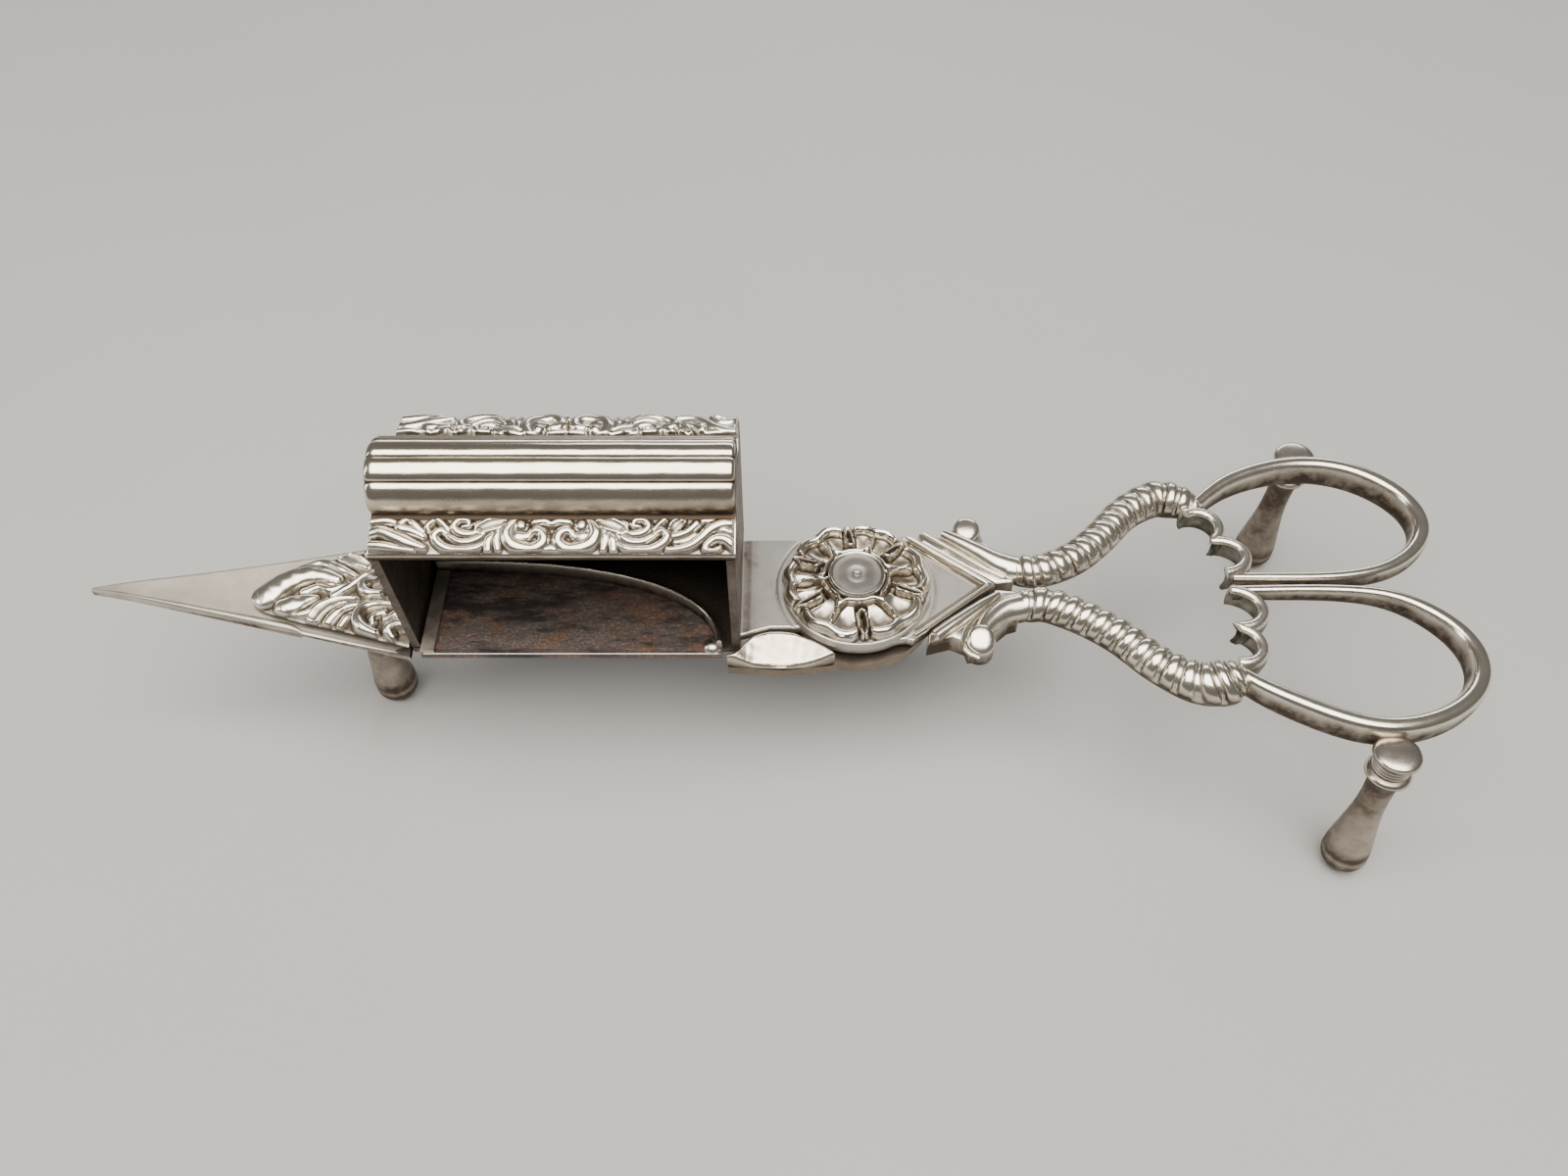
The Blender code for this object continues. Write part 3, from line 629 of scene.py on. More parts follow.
# middle angle, half width and rise of each reed, front to back
REEDS = ((161.0, 25.0, 0.47), (118.5, 17.0, 0.50), (86.5, 14.5, 0.47), (64.0, 7.0, 0.28),
         (49.0, 7.0, 0.22))
SOOT = (0.045, 0.036, 0.030, 1.0)
SMOKED = (0.17, 0.14, 0.115, 1.0)


def reed_rise(angle):
    rise = 0.0
    for middle, half, high in REEDS:
        off = abs(angle - middle) / half
        if off < 1:
            rise = max(rise, high * (1 - off ** 2.1) ** 0.5)
    return rise


def lid_line(wander):
    """Outer line of the lid from the front lip to the foot of the back wall."""
    line = [(BOX_FRONT + 0.05, LIP_Z - SHEET), (BOX_FRONT, LIP_Z - 0.5),
            (BOX_FRONT + 0.05, LIP_Z - 0.15), (BOX_FRONT + 0.25, LIP_Z + 0.06)]
    for share in (0.25, 0.5, 0.75, 0.95):
        line.append((BOX_FRONT + share * (LID_Y - LID_R - BOX_FRONT),
                     LIP_Z + share * (SHELF_Z - LIP_Z)))
    line.append((LID_Y - LID_R + 0.35, SHELF_Z + 0.02))
    for angle in np.arange(187.0, 8.0, -0.75):
        turn = math.radians(angle)
        radius = REED_ROOT + reed_rise(angle) + wander(angle)
        line.append((LID_Y + radius * math.cos(turn), LID_Z + radius * math.sin(turn)))
    line.append((LID_Y + LID_R - 0.35, SHELF_Z + 0.1))
    line.append((LID_Y + LID_R, SHELF_Z))
    line += [(BOX_BACK - 0.35, BACK_SHELF_Z + 0.08), (BOX_BACK - 0.1, BACK_SHELF_Z - 0.05),
             (BOX_BACK, BACK_SHELF_Z - 0.3)]
    line += [(BOX_BACK, z) for z in (36.0, 30.0, 26.0, PLATE_BOTTOM)]
    return line


def lid_inside():
    """Inner line of the lid, back down to the top of the front lip."""
    radius = REED_ROOT - SHEET
    line = [(BOX_BACK - SHEET, PLATE_BOTTOM), (BOX_BACK - SHEET, BACK_SHELF_Z - SHEET),
            (LID_Y + radius, SHELF_Z - SHEET)]
    for angle in range(6, 175, 7):
        turn = math.radians(angle)
        line.append((LID_Y + radius * math.cos(turn),
                     LID_Z - SHEET / 2 + radius * math.sin(turn)))
    line.append((LID_Y - radius, SHELF_Z - SHEET))
    return line


def reeded_lid():
    ends = np.array([0.0, 0.15, 0.4])
    stations = np.concatenate([ends, np.linspace(1.0, BOX_LENGTH - 1.0, 90),
                               (BOX_LENGTH - ends)[::-1]])
    rings = []
    for along in stations:
        end = min(along, BOX_LENGTH - along)
        pinch = 0.30 * max(0.0, 1 - end / 0.5) ** 2

        def wander(angle):
            slow = math.sin(along * 0.21 + angle * 0.045) + math.sin(along * 0.53 - angle * 0.09)
            return 0.008 * slow + 0.004 * math.sin(along * 1.3 + angle * 0.2) - pinch

        line = lid_line(wander) + lid_inside()
        rings.append([(BOX_LEFT + along, y, z) for y, z in line])
    obj = put_in_scene("reeded_lid", *skin(rings))

    def soot_tarnish_and_shade(p):
        """Soot inside and tarnish in the grooves; the back darker; painted shade on the front
        risers and the lip; a painted dark reflection down the front reed, deeper to the right.
        """
        y = (p[:, 1] - PIVOT.y) / MM
        z = p[:, 2] / MM
        deep = np.hypot(y - LID_Y, np.maximum(z - LID_Z, 0)) < LID_R - 0.9
        soot = deep | ((y < BOX_BACK - 0.5) & (y > BOX_FRONT + 0.2) & (z < 40.9))
        # Painted shade: the risers below the front reed and the face of the front lip are painted
        # fully dark.
        riser = (y < LID_Y - LID_R + 0.9) & (z > SHELF_Z - 0.1) & (z < SHELF_Z + 0.45)
        lip = (y < BOX_FRONT + 0.15) & (z < LIP_Z - 0.2)
        back = (y > LID_Y + 1.6) & (z > SHELF_Z)
        proud = np.hypot(y - LID_Y, z - LID_Z) - REED_ROOT
        tarnish_and_shade_film = np.where(z > LID_Z, np.clip(1.25 - np.maximum(proud, 0) / 0.2, 0, 1), 0)
        tarnish_and_shade_film = np.maximum(tarnish_and_shade_film, np.where(back, 0.6, 0))
        along = (p[:, 0] - PIVOT.x) / MM - BOX_LEFT
        # Painted reflection: the lower part of the front reed is painted dark, more so towards
        # the right end.
        shade = np.clip((LID_Z + 2.4 - z) / 2.0, 0, 1) * (0.45 + 0.011 * along)
        tarnish_and_shade_film = np.maximum(tarnish_and_shade_film, np.where((y < LID_Y - 2) & (z > SHELF_Z), shade, 0))
        return np.where(soot | riser | lip, 1.0, tarnish_and_shade_film)

    mark_wear_and_shade(obj, 0.35, 3, soot_tarnish_and_shade, 0.6)
    metal = silver("lid_polished_silver", bright=(0.83, 0.755, 0.625, 1), polish=0.12,
                   haze=0.08, tarnish_and_shade_gain=1.15, cloud=0.22, scratch=0.22, run=(0.25, 3.0, 3.0))
    finish(obj, metal, "upper_lever", "box_shell")


def smoked_silver():
    """Silver dulled by smoke and wax, with pale rubbed patches."""
    made, wire = new_material("smoked_silver")
    place = wire.make("ShaderNodeTexCoord", output=3)
    broad = noise(wire, place, 260.0, 6.0, 0.65)
    fine = noise(wire, place, 2100.0, 5.0, 0.7)
    darkening = wire.make("ShaderNodeValToRGB", {"Fac": 0.65 * broad + 0.35 * fine},
                     {"stops": [(0.36, 0.0), (0.60, 1.0)]})
    rubbed = (1.0 - 0.75 * darkening).clamped()
    bump = wire.make("ShaderNodeBump", {"Strength": 0.6, "Distance": 0.00012,
                                        "Height": fine + 0.5 * broad})
    shader = wire.make("ShaderNodeBsdfPrincipled",
                       {"Base Color": rubbed.blend(SOOT, SMOKED), "Metallic": 0.85,
                        "Roughness": 0.62 - 0.22 * rubbed, "Normal": bump})
    wire.make("ShaderNodeOutputMaterial", {"Surface": shader})
    return made


def keep_cad(node, finish_material):
    """Leave a plain plate as the CAD has it, in a better metal."""
    obj = frame["nodes"][node]
    obj.data.materials.clear()
    obj.data.materials.append(finish_material)


reeded_lid()
smoked = smoked_silver()
for node in ("box_end_left", "box_end_right", "box_floor"):
    keep_cad(node, smoked)


# ----------------------------------------------------------- the scroll bands
# Two cast strips of leaf scrolls, soldered along the shelves in front of and
# behind the reeds. Each mirrors about a pair of round curls in its middle.
BAND_REACH = (BOX_RIGHT - BOX_LEFT) / 2 - 0.1
BAND_WIDTH = 4.0
BAND_SWELL = 1.50
INNER_SCROLLS = [
    ("ridge", [(2.5, 1.7, 0.25, 0.5), (1.9, 2.5, 0.35, 0.75), (1.0, 2.3, 0.45, 0.85),
               (0.8, 1.3, 0.5, 0.9), (1.8, 0.55, 0.5, 0.85), (3.2, 0.7, 0.55, 0.8),
               (4.3, 1.2, 0.55, 0.9), (4.8, 2.3, 0.5, 0.9), (4.3, 3.4, 0.4, 0.7),
               (3.4, 3.8, 0.3, 0.5)]),
    ("ridge", [(3.2, 3.0, 0.55, 1.0), (3.25, 3.05, 0.55, 1.0)]),
    ("ridge", [(0.1, 3.3, 0.3, 0.7), (0.8, 3.6, 0.35, 0.7), (1.9, 3.5, 0.3, 0.6)]),
    ("ridge", [(2.6, 1.9, 0.4, 0.6), (3.5, 1.9, 0.5, 0.75), (3.8, 2.4, 0.4, 0.6)]),
    ("ridge", [(0.0, 0.6, 0.35, 0.6), (0.7, 0.4, 0.25, 0.5)]),
    ("scoop", [(5.2, 3.5, 0.4, 0.6), (6.3, 3.2, 0.6, 0.8), (7.6, 2.7, 0.45, 0.7)]),
    ("ridge", [(5.6, 0.5, 0.3, 0.5), (5.8, 1.6, 0.4, 0.7), (5.6, 2.6, 0.3, 0.6)]),
    ("ridge", [(6.7, 0.4, 0.35, 0.5), (6.6, 1.4, 0.4, 0.75), (6.2, 2.2, 0.25, 0.6)]),
    ("ridge", [(6.9, 2.5, 0.25, 0.5), (7.6, 1.7, 0.32, 0.8), (8.7, 1.2, 0.34, 0.85),
               (9.9, 1.3, 0.32, 0.8), (10.9, 1.9, 0.3, 0.7)]),
    ("ridge", [(7.0, 1.2, 0.25, 0.5), (8.0, 0.55, 0.34, 0.75), (9.4, 0.3, 0.4, 0.8),
               (10.8, 0.5, 0.4, 0.8), (11.9, 1.1, 0.4, 0.85), (12.4, 1.9, 0.4, 0.9),
               (11.8, 2.5, 0.35, 0.8), (11.0, 2.1, 0.25, 0.6)]),
    ("ridge", [(7.7, 2.5, 0.25, 0.6), (8.7, 2.1, 0.35, 0.8), (9.8, 2.3, 0.38, 0.85),
               (10.4, 3.0, 0.36, 0.9), (9.8, 3.7, 0.32, 0.85), (8.9, 3.6, 0.3, 0.8),
               (8.8, 3.0, 0.26, 0.8), (9.4, 2.9, 0.2, 0.8)]),
    ("ridge", [(7.4, 3.6, 0.3, 0.55), (8.0, 3.3, 0.3, 0.6)]),
    ("ridge", [(10.9, 2.6, 0.2, 0.6), (11.5, 3.2, 0.28, 0.8), (12.1, 3.7, 0.32, 0.9)]),
]
RIGHT_LEAVES = [
    ("scoop", [(12.9, 2.6, 0.35, 0.6), (13.3, 3.1, 0.5, 0.85), (13.9, 3.6, 0.35, 0.7)]),
    ("ridge", [(12.7, 1.9, 0.3, 0.6), (13.6, 2.0, 0.34, 0.75), (14.6, 2.4, 0.36, 0.85),
               (15.5, 3.2, 0.42, 1.0)]),
    ("ridge", [(12.5, 0.4, 0.3, 0.6), (13.8, 0.5, 0.32, 0.75), (15.0, 0.9, 0.36, 0.85),
               (16.0, 1.7, 0.42, 0.95), (17.0, 2.7, 0.5, 1.0), (18.2, 3.3, 0.5, 0.9),
               (19.4, 3.3, 0.4, 0.8)]),
    ("ridge", [(13.2, 1.2, 0.22, 0.5), (14.4, 1.4, 0.26, 0.65), (15.4, 2.0, 0.26, 0.7)]),
    ("ridge", [(16.0, 3.6, 0.3, 0.6), (17.3, 3.7, 0.3, 0.7), (18.6, 3.9, 0.3, 0.6)]),
    ("ridge", [(19.4, 0.9, 0.45, 0.9), (18.6, 1.5, 0.45, 0.95), (17.6, 1.6, 0.4, 0.9),
               (16.8, 1.1, 0.35, 0.8), (16.4, 0.5, 0.3, 0.7), (17.2, 0.2, 0.3, 0.7),
               (18.0, 0.6, 0.25, 0.6)]),
    ("ridge", [(17.5, 2.4, 0.25, 0.6), (18.3, 2.6, 0.3, 0.7), (19.3, 2.3, 0.3, 0.7)]),
]
LEFT_LEAVES = [
    ("ridge", [(13.6, 1.9, 0.3, 0.6), (14.9, 2.5, 0.42, 0.9), (16.2, 2.9, 0.45, 0.95),
               (15.5, 3.9, 0.3, 0.7)]),
    ("ridge", [(13.7, 2.4, 0.28, 0.6), (14.6, 3.2, 0.36, 0.85), (15.2, 3.8, 0.3, 0.7)]),
    ("ridge", [(13.5, 0.6, 0.3, 0.7), (15.2, 1.2, 0.5, 0.95), (16.8, 1.9, 0.55, 1.0),
               (18.2, 2.4, 0.5, 0.95), (19.4, 2.2, 0.45, 0.8)]),
    ("ridge", [(14.6, 0.2, 0.25, 0.6), (16.2, 0.5, 0.36, 0.85), (17.8, 0.8, 0.42, 0.9),
               (19.3, 0.9, 0.4, 0.8)]),
    ("ridge", [(16.4, 3.3, 0.3, 0.7), (17.6, 3.6, 0.42, 0.9), (19.2, 3.5, 0.4, 0.8)]),
    ("ridge", [(12.7, 3.6, 0.28, 0.7), (13.2, 3.0, 0.3, 0.8), (13.0, 2.4, 0.2, 0.6)]),
]


def band_height(u, v):
    """Height at u from the middle and v up the slope; the curls mirror at 0."""
    left = chased(-u, v, INNER_SCROLLS + LEFT_LEAVES, BAND_SWELL)
    right = chased(u, v, INNER_SCROLLS + RIGHT_LEAVES, BAND_SWELL)
    return 0.12 + np.where(u < 0, left, right)


def scroll_band(name, node, low, high):
    """Strip from its low edge to its high edge, chased on the upper side."""
    low, high = np.array(low), np.array(high)
    along = (high - low) / np.linalg.norm(high - low)
    up = np.array([-along[1], along[0]]) * (1 if along[0] > 0 else -1)
    u, v = np.meshgrid(np.linspace(-BAND_REACH, BAND_REACH, 620),
                       np.linspace(0.0, BAND_WIDTH, 52), indexing="ij")
    edge = np.minimum(np.minimum(v + 0.03, BAND_WIDTH + 0.03 - v), BAND_REACH - np.abs(u) + 0.05)
    rise = softened(band_height(u, v), 3) * np.clip(edge / 0.28, 0, 1) ** 0.5
    x = (BOX_LEFT + BOX_RIGHT) / 2 + u
    top = np.stack([x, low[0] + along[0] * v + up[0] * rise,
                    low[1] + along[1] * v + up[1] * rise], 2)
    back = v[:, ::-6]
    under = np.stack([x[:, ::-6], low[0] + along[0] * back - up[0] * 0.15,
                      low[1] + along[1] * back - up[1] * 0.15], 2)
    obj = put_in_scene(name, *skin(np.concatenate([top, under], 1)))

    def low_ground(p):
        y = (p[:, 1] - PIVOT.y) / MM - low[0]
        z = p[:, 2] / MM - low[1]
        return np.clip(1.1 - (y * up[0] + z * up[1]) / 0.45, 0, 0.72)

    mark_wear_and_shade(obj, 0.26, 2, low_ground)
    finish(obj, band_metal, "upper_lever", node)


band_metal = silver("band_chased_silver", polish=0.15, haze=0.12, tarnish_and_shade_gain=0.95, cloud=0.10,
                    scratch=0.25, cast=0.35)
scroll_band("front_scrolls", "front_scroll_band", (BOX_FRONT + 0.08, LIP_Z + 0.06),
            (LID_Y - LID_R, SHELF_Z))
scroll_band("back_scrolls", "back_scroll_band", (BOX_BACK - 0.1, BACK_SHELF_Z + 0.08),
            (LID_Y + LID_R, SHELF_Z + 0.05))


# ------------------------------------------------- the neck and arrow plate
# One flat plate: the neck from the box, the pivot disc with its raised rim, and
# an arrow-shaped end with a cast border. Its field is left matt.
neck_low, neck_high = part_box("upper_plate")
NECK_LEFT = (neck_low.x - PIVOT.x) / MM - 0.3
ARROW_TIP = (neck_high.x - PIVOT.x) / MM
ARROW_BASE = 6.6
ARROW_HALF = 8.2
RIM_R = 9.3
LINE_R = 9.85
NECK_HALF = 6.2
FLARE = 3.5


def plate_edges(x):
    """Near and far edge of the upper plate at x."""
    if x > ARROW_BASE:
        half = ARROW_HALF * max(0.01, (ARROW_TIP - x) / (ARROW_TIP - ARROW_BASE))
        return -half, half
    disc = math.sqrt(max(0.0, RIM_R ** 2 - x * x))
    near = -max(disc, NECK_HALF + max(0.0, -10.5 - x) / 3.3)
    far = max(disc, 7.6 if x < 0 else 0)
    if x > FLARE:
        share = (x - FLARE) / (ARROW_BASE - FLARE)
        near = -(abs(near) * (1 - share) + ARROW_HALF * share)
        far = far * (1 - share) + ARROW_HALF * share
    return near, far


def plate_height(x, y, near, far):
    """Raised rim in front, a scribed line round the disc and softened edges."""
    reach = np.hypot(x, y)
    rim = np.exp(-((reach - (RIM_R - 0.40)) / 0.27) ** 4) * 0.5
    rim *= np.clip((-y - 1.0) / 2.0, 0, 1) * np.clip((x + 9.5) / 3, 0, 1)
    line = -0.14 * np.exp(-((reach - LINE_R) / 0.11) ** 2) * (np.abs(x) > 5)
    step = -0.10 * np.clip((-12.9 - x) / 0.5, 0, 1)
    inward = np.minimum(y - near, far - y)
    soft = -0.22 * np.clip(1 - inward / 0.28, 0, 1) ** 2
    return PLATE_TOP + rim + line + step + soft


def neck_plate():
    rings = []
    stations = np.concatenate([np.linspace(NECK_LEFT, ARROW_BASE, 170),
                               np.linspace(ARROW_BASE + 0.08, ARROW_TIP, 70)])
    share = (1 - np.cos(np.linspace(0, np.pi, 120))) / 2
    for x in stations:
        near, far = plate_edges(x)
        y = near + (far - near) * share
        z = plate_height(np.full_like(y, x), y, near, far)
        ring = [(x, a, b) for a, b in zip(y, z)]
        low = np.linspace(0.985, 0.015, 12)
        ring += [(x, near + (far - near) * s, PLATE_BOTTOM) for s in low]
        rings.append(ring)
    obj = put_in_scene("neck_plate", *skin(rings))
    mark_wear_and_shade(obj, low=lambda p: np.clip((-11.6 - (p[:, 0] - PIVOT.x) / MM) / 2.6, 0, 0.7))
    metal = silver("plate_matt_silver", bright=(0.66, 0.64, 0.605, 1), polish=0.34, haze=0.14,
                   tarnish_and_shade_gain=0.8, cloud=0.35, scratch=0.7, run=(2.0, 0.5, 1.0))
    finish(obj, metal, "upper_lever", "upper_plate")


def arrow_bead():
    """Bright bead and thin inner fillet round the arrow's point."""
    across = [(0.0, 22.2), (0.0, 23.3), (0.10, 23.58), (0.30, 23.74), (0.52, 23.74),
              (0.72, 23.58), (0.82, 23.25), (0.90, 22.98), (0.98, 22.98), (1.06, 23.2),
              (1.18, 23.32), (1.30, 23.2), (1.38, 22.95), (1.38, 22.2)]
    run = ARROW_TIP - ARROW_BASE
    tilt = math.atan2(ARROW_HALF, run)
    rings = []
    for turn in np.linspace(-1, 1, 61):
        side = 1 if turn < 0 else -1
        ring = []
        for inset, z in across:
            tip = ARROW_TIP + 0.12 - inset / math.sin(tilt)
            x = tip + (ARROW_BASE + 0.2 - tip) * abs(turn)
            ring.append((x, side * (tip - x) * math.tan(tilt), z))
        rings.append(ring)
    obj = put_in_scene("arrow_bead", *skin(rings))
    mark_wear_and_shade(obj, 0.3, 1)
    metal = silver("bead_polished_silver", polish=0.15, haze=0.08, tarnish_and_shade_gain=1.0, cloud=0.1,
                   scratch=0.3)
    finish(obj, metal, "upper_lever", "arrow_border")


neck_plate()
arrow_bead()


# ----------------------------------------------------------------- the rosette
# Cast flower round the pivot: six dished petals with rolled, lipped edges, six
# narrow sepals between them, and a star-shaped ridge round the screw's head.
ROSE_Y = 0.3
ROSE_R = 9.15
SEPALS = (-85, -17, 43, 96, 157, 210)
ROSE_BASE = PLATE_TOP
DISH_R = 6.6
GAP_FLOOR = 0.22
LOOP_R = 0.42
LOOP_END = 5.5


def off_sepal(turn):
    """Signed angle in degrees from the nearest sepal's middle."""
    off = (turn[..., None] - np.array(SEPALS, float) + 180) % 360 - 180
    nearest = np.abs(off).argmin(-1)
    return np.take_along_axis(off, nearest[..., None], -1)[..., 0]


def petal_share(turn):
    """-1 to 1 across the petal that a turn falls in, and that petal's number."""
    marks = np.sort(np.mod(SEPALS, 360)).astype(float)
    wrapped = np.mod(turn, 360)
    petal = np.searchsorted(marks, wrapped) % len(marks)
    right, left = marks[petal], marks[petal - 1]
    width = np.mod(right - left, 360)
    return 2 * np.mod(wrapped - left, 360) / width - 1, petal


def rose_outline(turn):
    """Radius of the edge: two lobes to a petal, and a point on each sepal."""
    share, _ = petal_share(turn)
    lobes = 0.45 * np.exp(-((np.abs(share) - 0.42) / 0.3) ** 2)
    sag = 1.5 * np.clip((np.abs(share) - 0.70) / 0.3, 0, 1) ** 1.7
    tip = 1.25 * np.exp(-(off_sepal(turn) / 3.6) ** 2)
    return ROSE_R - 0.42 + lobes - sag + tip


def rounded(share):
    """Half circle's height at a share of its half width."""
    return np.sqrt(np.clip(1 - share ** 2, 0, 1))


def rose_height(radius, turn, edge):
    share, number = petal_share(turn)
    across = np.abs(np.radians(off_sepal(turn)) * radius)
    inward = edge - radius
    lip = (1.60 + 0.12 * np.sin(share * 5.5 + number * 2.1)) * rounded((inward - 0.80) / 0.84)
    folds = 0.26 * np.sin(share * 7.5 + number * 1.7) * np.exp(-((radius - DISH_R) / 1.1) ** 2)
    dish = 0.42 + 0.16 * (radius - DISH_R) ** 2 * (radius > 4.4)
    star_edge = 4.35 + 1.45 * np.exp(-(share / 0.21) ** 2)
    star = 2.2 * rounded((2 * radius - star_edge - 3.3) / (star_edge - 3.2))
    rib = 1.85 * np.clip((7.6 - radius) / 1.2, 0, 1) ** 0.6 * rounded(share * radius * 0.5 / 0.40)
    petal = np.maximum.reduce([lip, dish + folds, star, rib])
    gap = np.clip((across - 0.70) / 0.22, 0, 1) ** 0.5
    petal = np.where(radius > star_edge, GAP_FLOOR + (petal - GAP_FLOOR) * gap, petal)
    spread = LOOP_R * np.clip((8.9 - radius) / 1.6, 0, 1)
    off_loop = np.where(radius > LOOP_END, np.abs(across - spread),
                        np.abs(np.hypot(across, radius - LOOP_END) - LOOP_R))
    loop = (1.80 - 0.12 * (radius - 5)) * rounded(off_loop / 0.29) * (radius > 4.7)
    spade = 1.35 * rounded(across / 0.62) * (radius > 8.25)
    made = np.maximum.reduce([petal, loop, spade])
    return made * np.clip((inward + 0.05) / 0.35, 0, 1) ** 0.5


def rosette():
    turn = np.linspace(0, 360, 560, endpoint=False)
    edge = rose_outline(turn)

    def ring(share, z):
        radius = edge * share
        return np.stack([radius * np.cos(np.radians(turn)),
                         ROSE_Y + radius * np.sin(np.radians(turn)), z], 1)

    rings = [ring(share, ROSE_BASE + 0.06 + rose_height(edge * share, turn, edge))
             for share in np.linspace(0.2, 1.0, 128)]
    flat = np.full(len(turn), ROSE_BASE - 0.1)
    rings += [ring(share, flat) for share in (1.0, 0.6, 0.2)]
    obj = put_in_scene("rosette_petals", *skin(rings))
    mark_wear_and_shade(obj, 0.35, 2, lambda p: np.clip(1.05 - (p[:, 2] / MM - ROSE_BASE) / 0.85, 0, 0.72))
    metal = silver("rosette_cast_silver", polish=0.13, haze=0.10, tarnish_and_shade_gain=1.0, cloud=0.12,
                   scratch=0.2, cast=0.2)
    finish(obj, metal, "upper_lever", "rosette")


rosette()


# ------------------------------------------------------------------- the pivot
# Turned screw with a flat, thinly rimmed head in the rosette, a thin washer
# between the levers, and a riveted burr under the lower one.
SCREW_TOP = 25.62


def turned(profile, sides=96, place=(0.0, 0.0)):
    """Skin of a turned shape from (radius, height) rows, listed from the top."""
    turn = np.linspace(0, 2 * math.pi, sides, endpoint=False)
    rings = [np.stack([place[0] + max(r, 0.02) * np.cos(turn),
                       place[1] + max(r, 0.02) * np.sin(turn), np.full(sides, z)], 1)
             for r, z in profile]
    return skin(rings)


def pivot_screw():
    top = SCREW_TOP
    profile = [(0.0, top - 0.10), (0.25, top - 0.10), (0.36, top - 0.02), (0.5, top - 0.02),
               (0.6, top - 0.14), (0.9, top - 0.13), (1.25, top - 0.03), (1.5, top),
               (2.2, top), (2.9, top), (3.02, top + 0.04),
               (3.12, top + 0.22), (3.28, top + 0.27), (3.42, top + 0.16), (3.48, top - 0.1),
               (3.48, top - 0.6), (1.6, top - 0.62), (1.6, 17.6), (1.35, 17.2), (0, 17.2)]
    obj = put_in_scene("screw_head", *turned(profile))
    mark_wear_and_shade(obj, 0.3, 1)
    metal = silver("screw_turned_silver", bright=(0.60, 0.575, 0.53, 1), polish=0.22, haze=0.12,
                   tarnish_and_shade_gain=1.0, cloud=0.25, scratch=0.4)
    finish(obj, metal, "upper_lever", "pivot_screw")


def burr():
    profile = [(0, 17.45), (1.9, 17.45), (2.9, 17.6), (3.45, 17.95), (3.6, 18.4), (3.55, 18.9),
               (0, 18.9)]
    obj = put_in_scene("rivet_burr", *turned(profile[::-1]))
    mark_wear_and_shade(obj)
    finish(obj, old_silver, "upper_lever", "pivot_burr")


old_silver = silver("old_rubbed_silver", polish=0.22, haze=0.15, tarnish_and_shade_gain=0.9, cloud=0.45,
                    scratch=0.4, cast=0.3)
pivot_screw()
burr()
keep_cad("pivot_washer", old_silver)


# ------------------------------------------------------------ the handle roots
# Cast roots that join each arm to its lever: a scroll seen end on, a swelling
# that runs into the arm, and ridges that sweep round beside the arrow.
ROOT_EDGE = 0.25
RIDGE_Z = 23.1
SCROLL_TOP = 24.15


def bar_tree():
    """Node tree that sweeps an oval or softly square bar along a line of points."""
    tree = bpy.data.node_groups.new("drawn_bar", "GeometryNodeTree")
    for name, kind in (("Geometry", "NodeSocketGeometry"), ("Flatten", "NodeSocketFloat"),
                       ("Square", "NodeSocketFloat"), ("Step", "NodeSocketFloat"),
                       ("Sides", "NodeSocketInt"), ("Metal", "NodeSocketMaterial")):
        tree.interface.new_socket(name, in_out="INPUT", socket_type=kind)
    tree.interface.new_socket("Geometry", in_out="OUTPUT", socket_type="NodeSocketGeometry")
    start = tree.nodes.new("NodeGroupInput")
    geometry, flatten, square, step, sides, metal = [Wire(tree, s) for s in start.outputs[:6]]
    curve = geometry.make("GeometryNodeMeshToCurve", {0: geometry})
    curve = curve.make("GeometryNodeCurveSplineType", {0: curve},
                       {"spline_type": "CATMULL_ROM"})
    curve = curve.make("GeometryNodeResampleCurve", {"Curve": curve, "Length": step},
                       {"mode": "LENGTH"})
    curve = curve.make("GeometryNodeSetCurveNormal", {"Curve": curve}, {"mode": "Z_UP"})
    thick = curve.make("GeometryNodeInputNamedAttribute", {"Name": "thick"},
                       {"data_type": "FLOAT"})
    section = curve.make("GeometryNodeCurvePrimitiveCircle", {"Resolution": sides,
                                                              "Radius": 1.0})
    place = section.make("GeometryNodeInputPosition")
    sides_of = [section.make("ShaderNodeSeparateXYZ", {0: place}, output=i) for i in (0, 1)]
    wide, tall = [section.math("SIGN", side)
                  * section.math("POWER", section.math("ABSOLUTE", side), square)
                  for side in sides_of]
    section = section.make("GeometryNodeSetPosition",
                           {"Geometry": section, "Position": section.make(
                               "ShaderNodeCombineXYZ", {"X": wide, "Y": tall * flatten})})
    bar = curve.make("GeometryNodeCurveToMesh", {"Curve": curve, "Profile Curve": section,
                                                 "Scale": thick, "Fill Caps": True})
    bar = bar.make("GeometryNodeRealizeInstances", {0: bar})
    bar = bar.make("GeometryNodeSetMaterial", {"Geometry": bar, "Material": metal})
    bar.make("NodeGroupOutput", {0: bar})
    return tree


def line_object(name, path, keys):
    """Line of (x, y, z, values...) rows, with one value kept under each key."""
    path = np.asarray(path, float)
    mesh = bpy.data.meshes.new(name)
    mesh.from_pydata((path[:, :3] * MM).tolist(),
                     [(i, i + 1) for i in range(len(path) - 1)], [])
    for column, key in enumerate(keys):
        scale = MM if key == "thick" else 1.0
        values = (path[:, 3 + column] * scale).astype(np.float32)
        mesh.attributes.new(key, "FLOAT", "POINT").data.foreach_set("value", values)
    obj = bpy.data.objects.new(name, mesh)
    bpy.context.scene.collection.objects.link(obj)
    return obj


